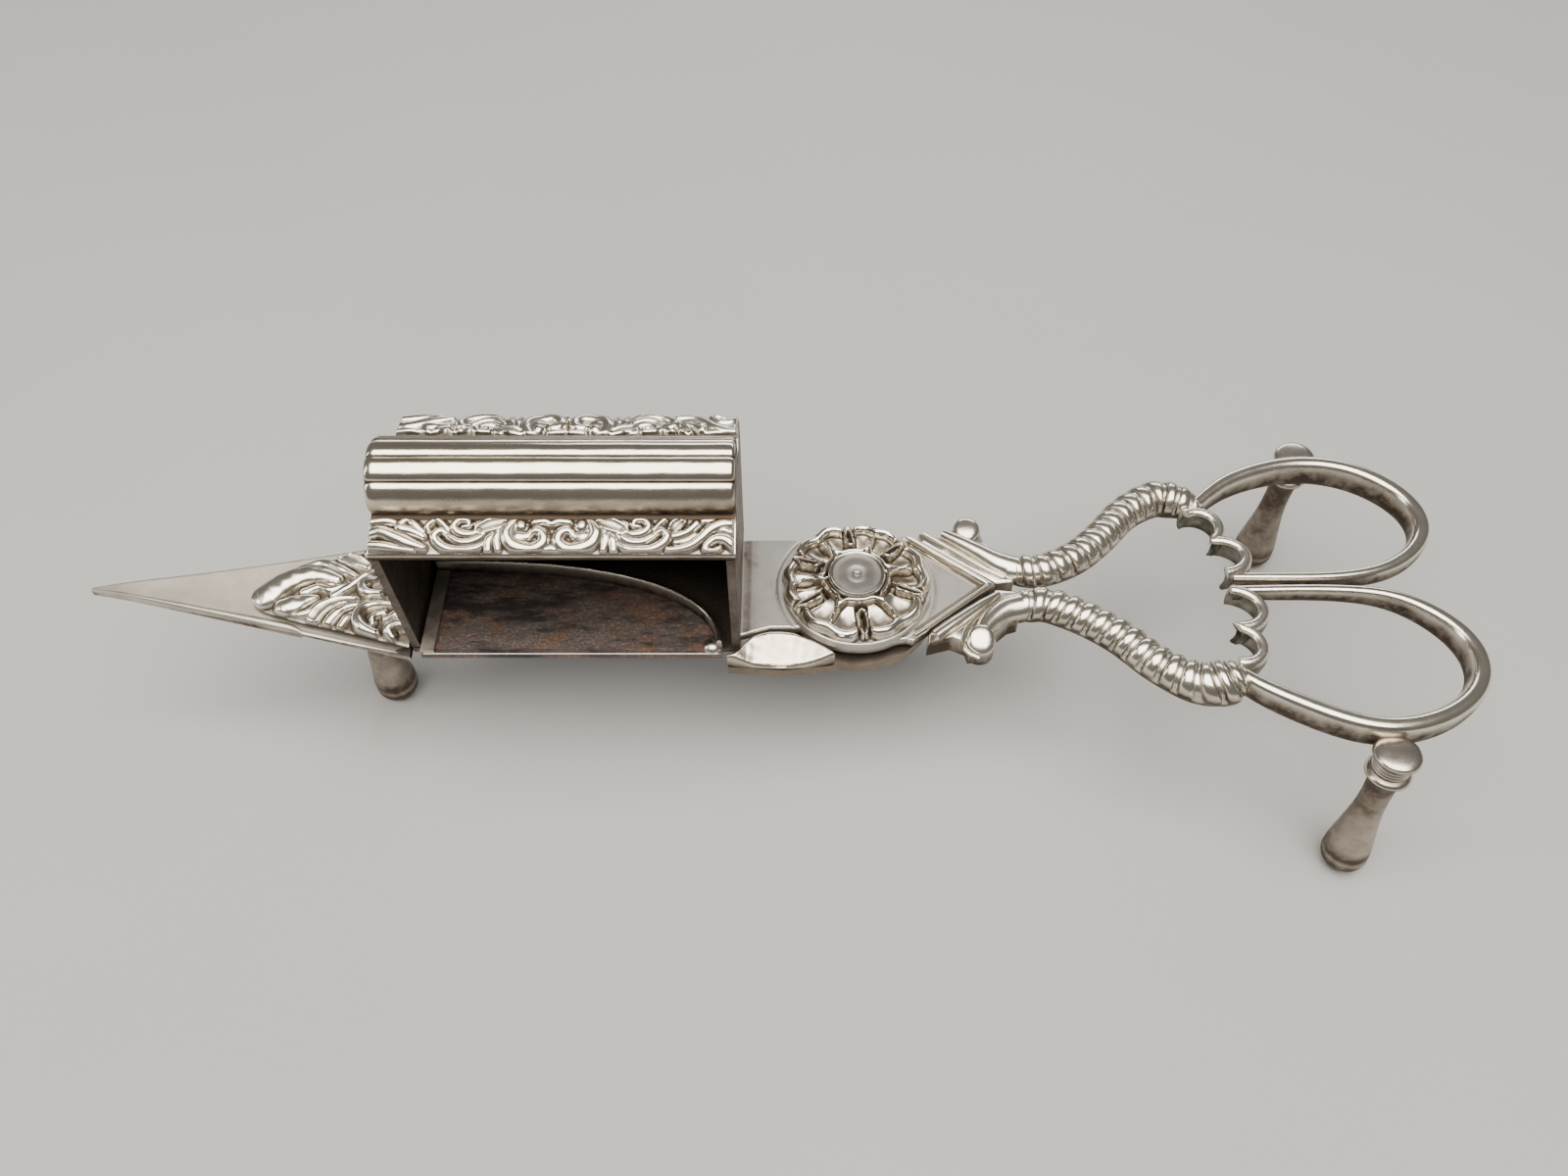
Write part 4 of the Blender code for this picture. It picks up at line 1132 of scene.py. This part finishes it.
def grown(obj, tree, **values):
    """Points in plan millimetres and faces that a node tree makes from obj."""
    change = obj.modifiers.new(tree.name, "NODES")
    change.node_group = tree
    for item in tree.interface.items_tree:
        if item.in_out == "INPUT" and item.name in values:
            change[item.identifier] = values[item.name]
    evaluated = obj.evaluated_get(bpy.context.evaluated_depsgraph_get())
    mesh = bpy.data.meshes.new_from_object(evaluated)
    points = np.empty(len(mesh.vertices) * 3)
    mesh.vertices.foreach_get("co", points)
    faces = [tuple(face.vertices) for face in mesh.polygons]
    obj.modifiers.remove(change)
    bpy.data.objects.remove(obj)
    bpy.data.meshes.remove(mesh)
    return points.reshape(-1, 3) / MM, faces


drawn_bar = bar_tree()
cast_silver = silver("cast_silver", polish=0.16, haze=0.12, tarnish_and_shade_gain=1.0, cloud=0.30,
                     scratch=0.3, cast=0.35)


def bar(path, step, sides, flatten=1.0, square=1.0):
    """Bar through (x, y, z, radius) rows, taller than wide by flatten.

    Its section is oval at square 1 and nearer a box below it."""
    line = line_object("bar_line", path, ("thick",))
    return grown(line, drawn_bar, Flatten=flatten, Square=square, Step=step * MM,
                 Sides=sides, Metal=cast_silver)


def plan_plate(outline, bottom, top):
    """Skin of a flat plate with softened edges, from a star-shaped outline."""
    outline = np.asarray(outline, float)
    middle = outline.mean(0)
    dense = []
    for a, b in zip(outline, np.roll(outline, -1, 0)):
        for share in np.linspace(0, 1, max(2, int(np.hypot(*(b - a)) / 0.3)), endpoint=False):
            dense.append(a + (b - a) * share)
    dense = np.array(dense)
    inward = middle - dense
    inward /= np.linalg.norm(inward, axis=1)[:, None]
    rows = [(0.0, bottom), (0.0, top - ROOT_EDGE), (0.3 * ROOT_EDGE, top - 0.3 * ROOT_EDGE),
            (ROOT_EDGE, top)]
    rings = [np.column_stack([dense + inward * move, np.full(len(dense), z)])
             for move, z in rows]
    return skin(rings)


def root_outline():
    """Plan of the near root, from the arrow's edge round below the scroll."""
    beside = -ARROW_HALF / (ARROW_TIP - ARROW_BASE) * (ARROW_TIP - 8.5) - 0.45
    return [(8.5, beside), (8.3, beside - 1.25), (11.2, -7.6), (12.9, -8.4), (13.2, -9.6),
            (16.0, -9.0), (16.6, -6.9), (18.4, -5.3), (19.6, -4.9), (19.6, -0.75),
            (17.3, -0.5)]


def scroll_end(place, tip, bottom):
    """Round end of a scroll: a short drum whose domed top tips to the front."""
    top = SCROLL_TOP
    profile = [(0, top), (0.7, top - 0.04), (1.15, top - 0.13), (1.45, top - 0.27),
               (1.66, top - 0.46), (1.75, top - 0.75),
               (1.7, bottom + 0.5), (1.5, bottom + 0.15), (1.2, bottom), (0, bottom)]
    points, faces = turned(profile, 48, place)
    points = np.array(points)
    points[:, 2] += np.where(points[:, 2] > top - 0.8, tip * (points[:, 1] - place[1]), 0)
    return points, faces


def handle_root(side, scroll, tip, bottom, ridges, swelling):
    """One root; side is -1 for the near handle and 1 for the far one."""
    outline = [(x, -side * y) for x, y in root_outline()]
    if side > 0:
        outline = outline[::-1]
    parts = [plan_plate(outline, bottom, RIDGE_Z), scroll_end(scroll, tip, bottom)]
    parts += [bar(path, 0.2, 12) for path in ridges]
    return together(parts + [bar(swelling, 0.2, 32)])


def near_root():
    z = RIDGE_Z
    ridges = [
        [(17.5, -1.1, z, 0.35), (15.4, -2.8, z, 0.75), (12.0, -5.45, z, 0.92),
         (9.2, -7.65, z, 0.88)],
        [(18.6, -1.7, z, 0.2), (16.6, -2.9, z, 0.28), (14.4, -4.9, z + 0.1, 0.3),
         (13.0, -6.7, z + 0.1, 0.32), (12.45, -8.4, z + 0.1, 0.32), (12.9, -9.9, z, 0.3),
         (14.2, -10.6, z - 0.2, 0.25)],
    ]
    swelling = [(14.75, -8.1, 23.1, 0.95), (15.2, -6.6, 23.0, 1.15), (16.4, -4.95, 22.8, 1.45),
                (18.2, -3.5, 22.6, 1.75), (20.1, -2.85, 22.5, 1.85)]
    obj = put_in_scene("near_root_scroll",
                       *handle_root(-1, (14.6, -8.4), 0.42, 20.2, ridges, swelling))
    mark_wear_and_shade(obj, 0.4, 2)
    finish(obj, cast_silver, "upper_lever", "near_root")


near_root()


# -------------------------------------------------------------- the rope arms
# Each arm is cast like a thick rope: fat rounded turns with two or three fine
# threads between them, over a smooth underside. The turns grow near the bow.
def rope_tree():
    """Node tree that lays leaning turns round a bar along a line of points."""
    tree = bpy.data.node_groups.new("rope_turns", "GeometryNodeTree")
    for name, kind in (("Geometry", "NodeSocketGeometry"), ("Pitch", "NodeSocketFloat"),
                       ("Rise", "NodeSocketFloat"), ("Hand", "NodeSocketFloat"),
                       ("Step", "NodeSocketFloat"), ("Sides", "NodeSocketInt"),
                       ("Metal", "NodeSocketMaterial")):
        tree.interface.new_socket(name, in_out="INPUT", socket_type=kind)
    tree.interface.new_socket("Geometry", in_out="OUTPUT", socket_type="NodeSocketGeometry")
    start = tree.nodes.new("NodeGroupInput")
    geometry, pitch, rise, hand, step, sides, metal = [Wire(tree, s) for s in start.outputs[:7]]
    curve = geometry.make("GeometryNodeMeshToCurve", {0: geometry})
    curve = curve.make("GeometryNodeCurveSplineType", {0: curve},
                       {"spline_type": "CATMULL_ROM"})
    curve = curve.make("GeometryNodeResampleCurve", {"Curve": curve, "Length": step},
                       {"mode": "LENGTH"})
    curve = curve.make("GeometryNodeSetCurveNormal", {"Curve": curve}, {"mode": "Z_UP"})
    thick = curve.make("GeometryNodeInputNamedAttribute", {"Name": "thick"},
                       {"data_type": "FLOAT"})
    along = curve.make("GeometryNodeSplineParameter", output=1)
    curve = curve.make("GeometryNodeStoreNamedAttribute",
                       {"Geometry": curve, "Name": "along", "Value": along},
                       {"data_type": "FLOAT", "domain": "POINT"})
    section = curve.make("GeometryNodeCurvePrimitiveCircle", {"Resolution": sides,
                                                              "Radius": 1.0})
    turn = section.make("GeometryNodeSplineParameter", output=0)
    section = section.make("GeometryNodeStoreNamedAttribute",
                           {"Geometry": section, "Name": "turn", "Value": turn},
                           {"data_type": "FLOAT", "domain": "POINT"})
    rope = curve.make("GeometryNodeCurveToMesh", {"Curve": curve, "Profile Curve": section,
                                                  "Scale": thick, "Fill Caps": True})

    def kept(name):
        return rope.make("GeometryNodeInputNamedAttribute", {"Name": name},
                         {"data_type": "FLOAT"})

    angle = kept("turn") * (2 * math.pi)
    lean = kept("lean") * rope.math("COSINE", angle - 0.9)
    phase = kept("along") / pitch + kept("turn") * hand + lean
    share = rope.math("FRACT", phase)
    bead = rope.make("ShaderNodeFloatCurve", {"Value": share}, {"profile": [
        (0.0, 0.0), (0.05, 0.55), (0.16, 0.88), (0.36, 1.0), (0.56, 0.88), (0.67, 0.55),
        (0.72, 0.08), (0.78, 0.26), (0.84, 0.06), (0.90, 0.24), (0.96, 0.0), (1.0, 0.0)]})
    normal = rope.make("GeometryNodeInputNormal")
    fade = kept("fade")
    upper = (0.7 - 4.0 * rope.math("SINE", angle)).clamped()
    proud = bead * upper + 0.7 * (1.0 - upper)
    push = rope.make("ShaderNodeVectorMath", {0: normal, "Scale": proud * rise * fade},
                     {"operation": "SCALE"})
    rope = rope.make("GeometryNodeSetPosition", {"Geometry": rope, "Offset": push})
    rope = rope.make("GeometryNodeRealizeInstances", {0: rope})
    rope = rope.make("GeometryNodeSetMaterial", {"Geometry": rope, "Material": metal})
    rope.make("NodeGroupOutput", {0: rope})
    return tree


rope_turns = rope_tree()
rope_silver = silver("rope_cast_silver", polish=0.15, haze=0.12, tarnish_and_shade_gain=0.95, cloud=0.32,
                     scratch=0.25, cast=0.30)
ARM_Z = 22.5
TURN_PITCH = 2.02
TURN_RISE = 0.42
# x, y, radius, lean of the turns, depth of the turns
NEAR_ARM = [(19.0, -2.95, 1.70, 0.0, 0.0), (19.9, -2.8, 1.70, 0.0, 0.25),
            (21.2, -2.6, 1.75, 0.0, 1.0), (23.5, -2.6, 1.82, 0.05, 1.0),
            (27.6, -4.5, 1.86, -0.05, 1.0), (31.5, -7.3, 1.88, -0.1, 1.0),
            (35.3, -11.2, 1.92, -0.2, 1.0), (39.2, -13.7, 2.10, -0.4, 1.15),
            (42.2, -13.9, 2.26, -0.7, 1.4), (43.9, -13.7, 2.1, -0.8, 1.0),
            (45.2, -13.8, 1.35, -0.8, 0.2), (46.2, -14.3, 0.9, -0.8, 0.0)]
FAR_ARM = [(19.0, 3.05, 1.70, 0.0, 0.0), (19.9, 2.9, 1.70, 0.0, 0.3),
           (21.2, 2.8, 1.75, 0.0, 1.0), (23.5, 2.9, 1.82, 0.0, 1.0),
           (27.6, 4.8, 1.86, 0.1, 1.0), (31.3, 8.0, 1.88, 0.2, 1.0),
           (35.2, 12.2, 1.92, 0.3, 1.0), (39.2, 14.6, 2.06, 0.3, 1.0),
           (41.6, 14.6, 2.06, 0.2, 1.0), (43.3, 14.0, 1.9, 0.1, 0.5),
           (44.6, 13.4, 1.45, 0.0, 0.1), (45.6, 13.3, 1.0, 0.0, 0.0)]


def rope_arm(name, path, hand, body, node):
    rows = [(x, y, ARM_Z, r, lean, fade) for x, y, r, lean, fade in path]
    line = line_object("rope_line", rows, ("thick", "lean", "fade"))
    points, faces = grown(line, rope_turns, Pitch=TURN_PITCH * MM, Rise=TURN_RISE * MM,
                          Hand=hand, Step=0.085 * MM, Sides=56, Metal=rope_silver)
    obj = put_in_scene(name, points, faces)
    obj.data.set_sharp_from_angle(angle=math.radians(80))
    mark_wear_and_shade(obj, 0.28, 3)
    finish(obj, rope_silver, body, node)


rope_arm("near_rope_arm", NEAR_ARM, 1.0, "upper_lever", "near_arm")


# ----------------------------------------------------------- the finger bows
# Drawn oval straps bent into finger loops. The outer side is stout and the leg
# beside the other handle thin; both are polished by use.
bow_silver = silver("bow_rubbed_silver", polish=0.14, haze=0.12, tarnish_and_shade_gain=1.0, cloud=0.32,
                    scratch=0.35)
NEAR_BOW = [(44.7, -13.2, 0.95), (46.6, -14.8, 1.05), (50.5, -17.2, 1.15),
            (58.5, -20.7, 1.2), (67.0, -18.9, 1.2), (72.6, -14.0, 1.15), (72.8, -7.6, 1.1),
            (67.0, -1.9, 0.9), (60.0, -0.62, 0.72), (53.0, -0.55, 0.68), (46.7, -0.6, 0.62)]
FAR_BOW = [(44.6, 13.2, 0.9), (46.8, 15.1, 1.02), (50.5, 17.7, 1.15), (58.5, 20.2, 1.2),
           (66.5, 19.0, 1.2), (72.2, 13.9, 1.15), (72.6, 7.8, 1.1), (67.0, 2.8, 0.9),
           (60.0, 1.45, 0.72), (53.0, 1.4, 0.68), (46.9, 1.45, 0.62)]


def finger_bow(name, path, body, node):
    """Bow through (x, y, radius) rows, its bends evened out."""
    path = smooth_path([(x, y, ARM_Z, r) for x, y, r in path], 12)
    for _ in range(40):
        path[1:-1] = (path[:-2] + 2 * path[1:-1] + path[2:]) / 4
    obj = put_in_scene(name, *bar(path, 0.35, 48, flatten=1.75, square=0.74))
    mark_wear_and_shade(obj, 0.5, 2)
    finish(obj, bow_silver, body, node)


finger_bow("near_finger_bow", NEAR_BOW, "upper_lever", "near_bow")


# --------------------------------------------------------------- the scallops
# A wavy cast wall closes each bow beside the arm. Its lobes are hollow shells:
# bright rounded rim on top, rough uncleaned metal inside, facing the arm.
hollow_silver = silver("scallop_cast_silver", tarnish_and_shade_film=(0.085, 0.085, 0.068, 1), polish=0.18,
                       haze=0.14, tarnish_and_shade_gain=1.0, cloud=0.15, scratch=0.2, cast=0.9)
RIM_SECTION = [(-0.72, 23.5), (-0.62, 23.85), (-0.32, 24.08), (0.08, 24.12), (0.42, 23.98),
               (0.66, 23.6), (0.82, 23.0), (0.90, 22.2), (0.82, 21.3), (0.55, 20.6),
               (0.10, 20.4), (-0.10, 20.7), (0.10, 21.4), (0.22, 22.2), (0.10, 22.9),
               (-0.30, 23.2)]


def lobe(start, end, out):
    """Bulging arc from cusp to cusp, out being its depth towards the bow."""
    start, end = np.array(start), np.array(end)
    middle, chord = (start + end) / 2, end - start
    square = np.array([chord[1], -chord[0]]) / np.linalg.norm(chord)
    if square[0] < 0:
        square = -square
    return [middle - chord / 2 * math.cos(turn) + square * out * math.sin(turn)
            for turn in np.linspace(0, math.pi, 22)]


def scallop_wall(name, lobes, body, node):
    """Rim section swept along two lobes of (start, end, depth) rows."""
    first, second = [lobe(*row) for row in lobes]
    line = np.array(first + second[1:])
    run = np.gradient(line, axis=0)
    run /= np.linalg.norm(run, axis=1)[:, None]
    out = np.stack([run[:, 1], -run[:, 0]], 1)
    if out[len(out) // 8, 0] < 0:
        out = -out
    rings = [[(place[0] + way[0] * off, place[1] + way[1] * off, z) for off, z in RIM_SECTION]
             for place, way in zip(line, out)]
    obj = put_in_scene(name, *skin(rings))
    mark_wear_and_shade(obj, 0.4, 1, lambda p: np.clip((23.65 - p[:, 2] / MM) / 0.5, 0, 0.8))
    finish(obj, hollow_silver, body, node)


scallop_wall("near_scallops", [((46.0, -0.9), (45.5, -6.5), 3.5),
                               ((45.5, -6.5), (44.6, -11.6), 2.9)], "upper_lever",
             "near_scallop")


# ------------------------------------------------------------------- the feet
# Turned and soldered feet: low domed cap, ribbed neck, a collar, then a leg that
# swells into the bulb that it stands on. The rear two lean outwards.
foot_silver = silver("foot_dull_silver", bright=(0.66, 0.60, 0.52, 1),
                     tarnish_and_shade_film=(0.105, 0.080, 0.062, 1), polish=0.18, haze=0.14, tarnish_and_shade_gain=1.0,
                     cloud=0.22, scratch=0.3, cast=0.25)
FOOT_TOP = 23.7
BULB_R = 2.78
LEAN_BACK = math.radians(3.0)


def foot_profile(top):
    """(radius, height) rows from the cap down to the table."""
    profile = [(0.0, top), (0.8, top - 0.02), (1.5, top - 0.08), (2.0, top - 0.17),
               (2.3, top - 0.26), (2.5, top - 0.38), (2.62, top - 0.55), (2.65, top - 0.9),
               (2.5, top - 1.1), (2.15, top - 1.25)]
    for rib in range(4):
        z = top - 1.35 - 0.5 * rib
        profile += [(2.0, z), (2.1, z - 0.12), (2.1, z - 0.22), (1.95, z - 0.36)]
    profile += [(1.95, top - 3.5), (2.3, top - 3.72), (2.55, top - 4.0), (2.58, top - 4.25),
                (2.4, top - 4.45), (2.15, top - 4.6), (1.85, top - 5.2), (1.68, top - 6.4)]
    profile += [(1.62, 15.0), (1.66, 13.0), (1.80, 11.2), (2.02, 9.2), (2.28, 7.2),
                (2.55, 5.2), (2.72, 3.7)]
    for angle in range(20, -65, -12):
        turn = math.radians(angle)
        profile.append((BULB_R * math.cos(turn), 2.5 + BULB_R * math.sin(turn)))
    profile += [(1.0, 0.0), (0.0, 0.0)]
    return profile


def foot(name, place, top, lean, body, node):
    points, faces = turned(foot_profile(top), 64)
    homes = []
    for x, y, z in points:
        moved = lean @ Vector((x, y, z - top))
        homes.append((place[0] + moved.x, place[1] + moved.y, max(0.0, top + moved.z)))
    obj = put_in_scene(name, homes, faces)
    mark_wear_and_shade(obj, 0.45, 2)
    finish(obj, foot_silver, body, node)


def rear_lean(splay):
    """Turn that leans a rear foot back, and sideways by splay degrees."""
    return (Matrix.Rotation(-LEAN_BACK, 3, "Y")
            @ Matrix.Rotation(math.radians(splay), 3, "X"))


foot("near_turned_foot", (59.7, -23.5), FOOT_TOP, rear_lean(-5.5), "upper_lever", "near_foot")
foot("front_turned_foot", (-61.9, -0.5), 21.4, Matrix.Identity(3), "upper_lever",
     "front_foot")


# ---------------------------------------------- the lower lever's plate
# Plain flat disc on the pivot, under the upper lever, with a tab towards the
# tray and one under the far root. Beside the neck it carries a polished shoulder.
# The lower plate is painted nearly black: painted shade for a plate that lies under the upper
# lever.
keep_cad("lower_plate", silver("under_plate_painted_shade_silver", bright=(0.15, 0.122, 0.096, 1),
                               polish=0.30, haze=0.15, cloud=0.5, scratch=0.4, cast=0.3))
SHOULDER_FAR = [(-15.7, -10.0), (-14.7, -9.6), (-14.0, -8.9), (-13.4, -8.0), (-12.6, -7.3),
                (-11.6, -6.9), (-10.3, -6.65), (-9.0, -6.65), (-7.8, -6.85), (-6.6, -7.3),
                (-5.4, -7.95), (-4.2, -8.7), (-3.3, -9.35), (-2.8, -9.8)]
SHOULDER_NEAR = [(-15.7, -10.3), (-14.4, -10.6), (-12.6, -10.85), (-9.0, -10.95),
                 (-6.5, -10.85), (-4.5, -10.5), (-2.8, -9.95)]


def shoulder():
    rings = []
    share = np.linspace(0, 1, 26)
    for x in np.linspace(-15.65, -2.85, 110):
        near = np.interp(x, *np.array(SHOULDER_NEAR).T)
        far = np.interp(x, *np.array(SHOULDER_FAR).T)
        y = near + (far - near) * share
        inward, outward = y - near, far - y
        z = 23.05 - 0.34 * outward - 0.4 * np.clip(1 - inward / 0.4, 0, 1) ** 2
        z = np.maximum(z, 21.4) - 0.3 * np.clip(1 - outward / 0.45, 0, 1) ** 2
        rough = np.clip((-9.5 - x) / 3, 0, 1)
        hammer = np.sin(x * 3.1 + y * 1.3) * np.sin(y * 2.6 - x * 1.2)
        z = z + (0.012 + 0.03 * rough) * hammer
        ring = [(x, a, b) for a, b in zip(y, z)]
        ring += [(x, far, 21.2), (x, far - 0.1, 20.9), (x, near + 0.1, 20.9), (x, near, 21.2)]
        rings.append(ring)
    obj = put_in_scene("polished_shoulder", *skin(rings))
    mark_wear_and_shade(obj)
    metal = silver("shoulder_polished_silver", bright=(0.80, 0.72, 0.59, 1), polish=0.16,
                   haze=0.16, tarnish_and_shade_gain=0.9, cloud=0.30, scratch=0.5, cast=1.4)
    finish(obj, metal, "lower_lever", "shoulder")


shoulder()


# ----------------------------------------------------------------- the tray
# Flat plate that swings over the box floor and presses out the wick, with a
# thin curved rim. Its face is scorched brown and black; the near edge is bright.
TRAY_LEFT = -51.8
TRAY_RIGHT = -16.2
TRAY_BEND = -50.2
TRAY_FRONT = -10.4
TRAY_DEPTH = 13.0
TRAY_ROUND = 2 / 2.3
TRAY_BOTTOM = 22.7
TRAY_TOP = 23.4
WALL_TOP = 25.4
BROWN_SCALE = (0.150, 0.120, 0.108, 1)
BLACK_SCALE = (0.022, 0.018, 0.018, 1)
RUST = (0.215, 0.115, 0.070, 1)
RUBBED_GREY = (0.44, 0.39, 0.35, 1)


def tray_curve(steps):
    """Far edge of the tray from its left end to its near right corner."""
    points = [(TRAY_LEFT, TRAY_FRONT + TRAY_DEPTH)]
    for i in range(steps + 1):
        turn = math.pi / 2 * (1 - i / steps)
        points.append((TRAY_BEND + (TRAY_RIGHT - TRAY_BEND) * math.cos(turn) ** TRAY_ROUND,
                       TRAY_FRONT + TRAY_DEPTH * math.sin(turn) ** TRAY_ROUND))
    return points


def scorched():
    """Burnt silver: brown and black scale, rust, and a rubbed grey ground."""
    made, wire = new_material("scorched_silver")
    place = wire.make("ShaderNodeTexCoord", output=3)
    streak = wire.make("ShaderNodeMapping", {"Vector": place, "Scale": (0.45, 1.5, 1.0)})
    broad = noise(wire, streak, 230.0, 6.0, 0.62)
    burnt = noise(wire, streak, 620.0, 7.0, 0.72)
    grit = noise(wire, place, 2600.0, 5.0, 0.75)
    rust = noise(wire, place, 330.0, 5.0, 0.6)
    scale = wire.make("ShaderNodeValToRGB", {"Fac": 0.5 * broad + 0.5 * burnt},
                      {"stops": [(0.43, 1.0), (0.55, 0.0)]})
    warm = wire.make("ShaderNodeValToRGB", {"Fac": rust}, {"stops": [(0.46, 0.0), (0.66, 1.0)]})
    light = wire.make("ShaderNodeValToRGB", {"Fac": grit}, {"stops": [(0.50, 0.0), (0.72, 1.0)]})
    colour = warm.blend(BROWN_SCALE, RUST)
    colour = (0.65 * light).blend(colour, RUBBED_GREY)
    colour = scale.blend(colour, BLACK_SCALE)
    bump = wire.make("ShaderNodeBump", {"Strength": 0.8, "Distance": 0.00015,
                                        "Height": grit + 0.8 * burnt})
    shader = wire.make("ShaderNodeBsdfPrincipled",
                       {"Base Color": colour, "Metallic": (0.75 - 0.6 * scale).clamped(),
                        "Roughness": 0.42 + 0.2 * grit, "Normal": bump})
    wire.make("ShaderNodeOutputMaterial", {"Surface": shader})
    return made


def press_tray():
    """Plate with sixty small dents and bumps on its face and a raised near edge."""
    far = np.array(tray_curve(60))
    share = np.linspace(0, 1, 44)
    rings = []
    stations = np.concatenate([np.linspace(TRAY_LEFT, -22, 120), np.linspace(-21.8, -16.3, 50)])
    rng = np.random.default_rng(7)
    bumps = rng.normal(0, 1, (60, 3)) * [12, 5, 0.035] + [-34, -4, 0]
    for x in stations:
        edge = np.interp(x, far[:, 0], far[:, 1])
        y = TRAY_FRONT + (edge - TRAY_FRONT) * share
        z = np.full_like(y, TRAY_TOP)
        for bx, by, size in bumps:
            z += size * np.exp(-((x - bx) ** 2 + (y - by) ** 2) / 1.4)
        z += 0.10 * np.exp(-((y - TRAY_FRONT - 0.2) / 0.2) ** 2)
        ring = [(x, a, b) for a, b in zip(y, z)]
        ring += [(x, edge, TRAY_BOTTOM), (x, (edge + TRAY_FRONT) / 2, TRAY_BOTTOM),
                 (x, TRAY_FRONT, TRAY_BOTTOM)]
        rings.append(ring)
    obj = put_in_scene("scorched_tray", *skin(rings))
    finish(obj, scorched(), "lower_lever", "press_tray")


def tray_wall():
    """Upright rim on the far edge, a blob of solder, and the bright near lip."""
    line = smooth_path(tray_curve(48)[:-1], 4)
    run = np.gradient(line, axis=0)
    run /= np.linalg.norm(run, axis=1)[:, None]
    way = np.stack([run[:, 1], -run[:, 0]], 1)
    section = [(0.0, TRAY_TOP - 0.1), (0.02, WALL_TOP - 0.25), (0.12, WALL_TOP - 0.06),
               (0.3, WALL_TOP), (0.48, WALL_TOP - 0.06), (0.58, WALL_TOP - 0.25),
               (0.6, TRAY_TOP - 0.1)]
    rings = [[(p[0] + w[0] * off, p[1] + w[1] * off, z) for off, z in section]
             for p, w in zip(line, way)]
    blob = turned([(0, 24.2), (0.5, 24.15), (0.9, 23.9), (1.15, 23.55), (1.2, 23.3),
                   (0, 23.3)], 32, (-17.4, -9.2))
    lip = bar([(TRAY_LEFT + 0.3, TRAY_FRONT + 0.10, 23.42, 0.10),
               (TRAY_RIGHT - 0.5, TRAY_FRONT + 0.10, 23.42, 0.10)], 1.0, 12)
    obj = put_in_scene("tray_rim_wall", *together([skin(rings), blob, lip]))
    mark_wear_and_shade(obj, 0.3, 1)
    metal = silver("rim_rubbed_silver", bright=(0.70, 0.66, 0.60, 1), polish=0.2, haze=0.14,
                   tarnish_and_shade_gain=1.0, cloud=0.45, scratch=0.3)
    finish(obj, metal, "lower_lever", "tray_rim")


press_tray()
tray_wall()
keep_cad("tray_ledge", silver("ledge_stained_silver", bright=(0.62, 0.56, 0.50, 1),
                              polish=0.3, haze=0.2, tarnish_and_shade_gain=1.0, cloud=0.6, cast=0.5))


# ---------------------------------------------- the far handle
# The lower lever's handle mirrors the near one, with a straight polished band
# from its scroll to the arm. The same turned foot stands outside its bow.
def far_root():
    z = RIDGE_Z
    ridges = [[(18.4, 1.3, z, 0.25), (15.6, 3.2, z, 0.30), (12.2, 5.9, z, 0.30),
               (9.0, 8.4, z, 0.30)]]
    swelling = [(11.4, 8.3, 23.0, 0.85), (13.4, 6.9, 23.05, 1.05), (15.7, 5.3, 23.0, 1.25),
                (17.8, 3.9, 22.75, 1.55), (20.0, 2.95, 22.5, 1.85)]
    obj = put_in_scene("far_root_scroll",
                       *handle_root(1, (14.4, 8.75), 0.15, 20.95, ridges, swelling))
    mark_wear_and_shade(obj, 0.4, 2)
    finish(obj, cast_silver, "lower_lever", "far_root")


far_root()
rope_arm("far_rope_arm", FAR_ARM, -1.0, "lower_lever", "far_arm")
finger_bow("far_finger_bow", FAR_BOW, "lower_lever", "far_bow")
scallop_wall("far_scallops", [((46.0, 1.8), (45.4, 6.9), 3.4),
                              ((45.4, 6.9), (42.8, 11.3), 2.6)], "lower_lever",
             "far_scallop")
foot("far_turned_foot", (59.7, 21.7), FOOT_TOP, rear_lean(3.0), "lower_lever", "far_foot")
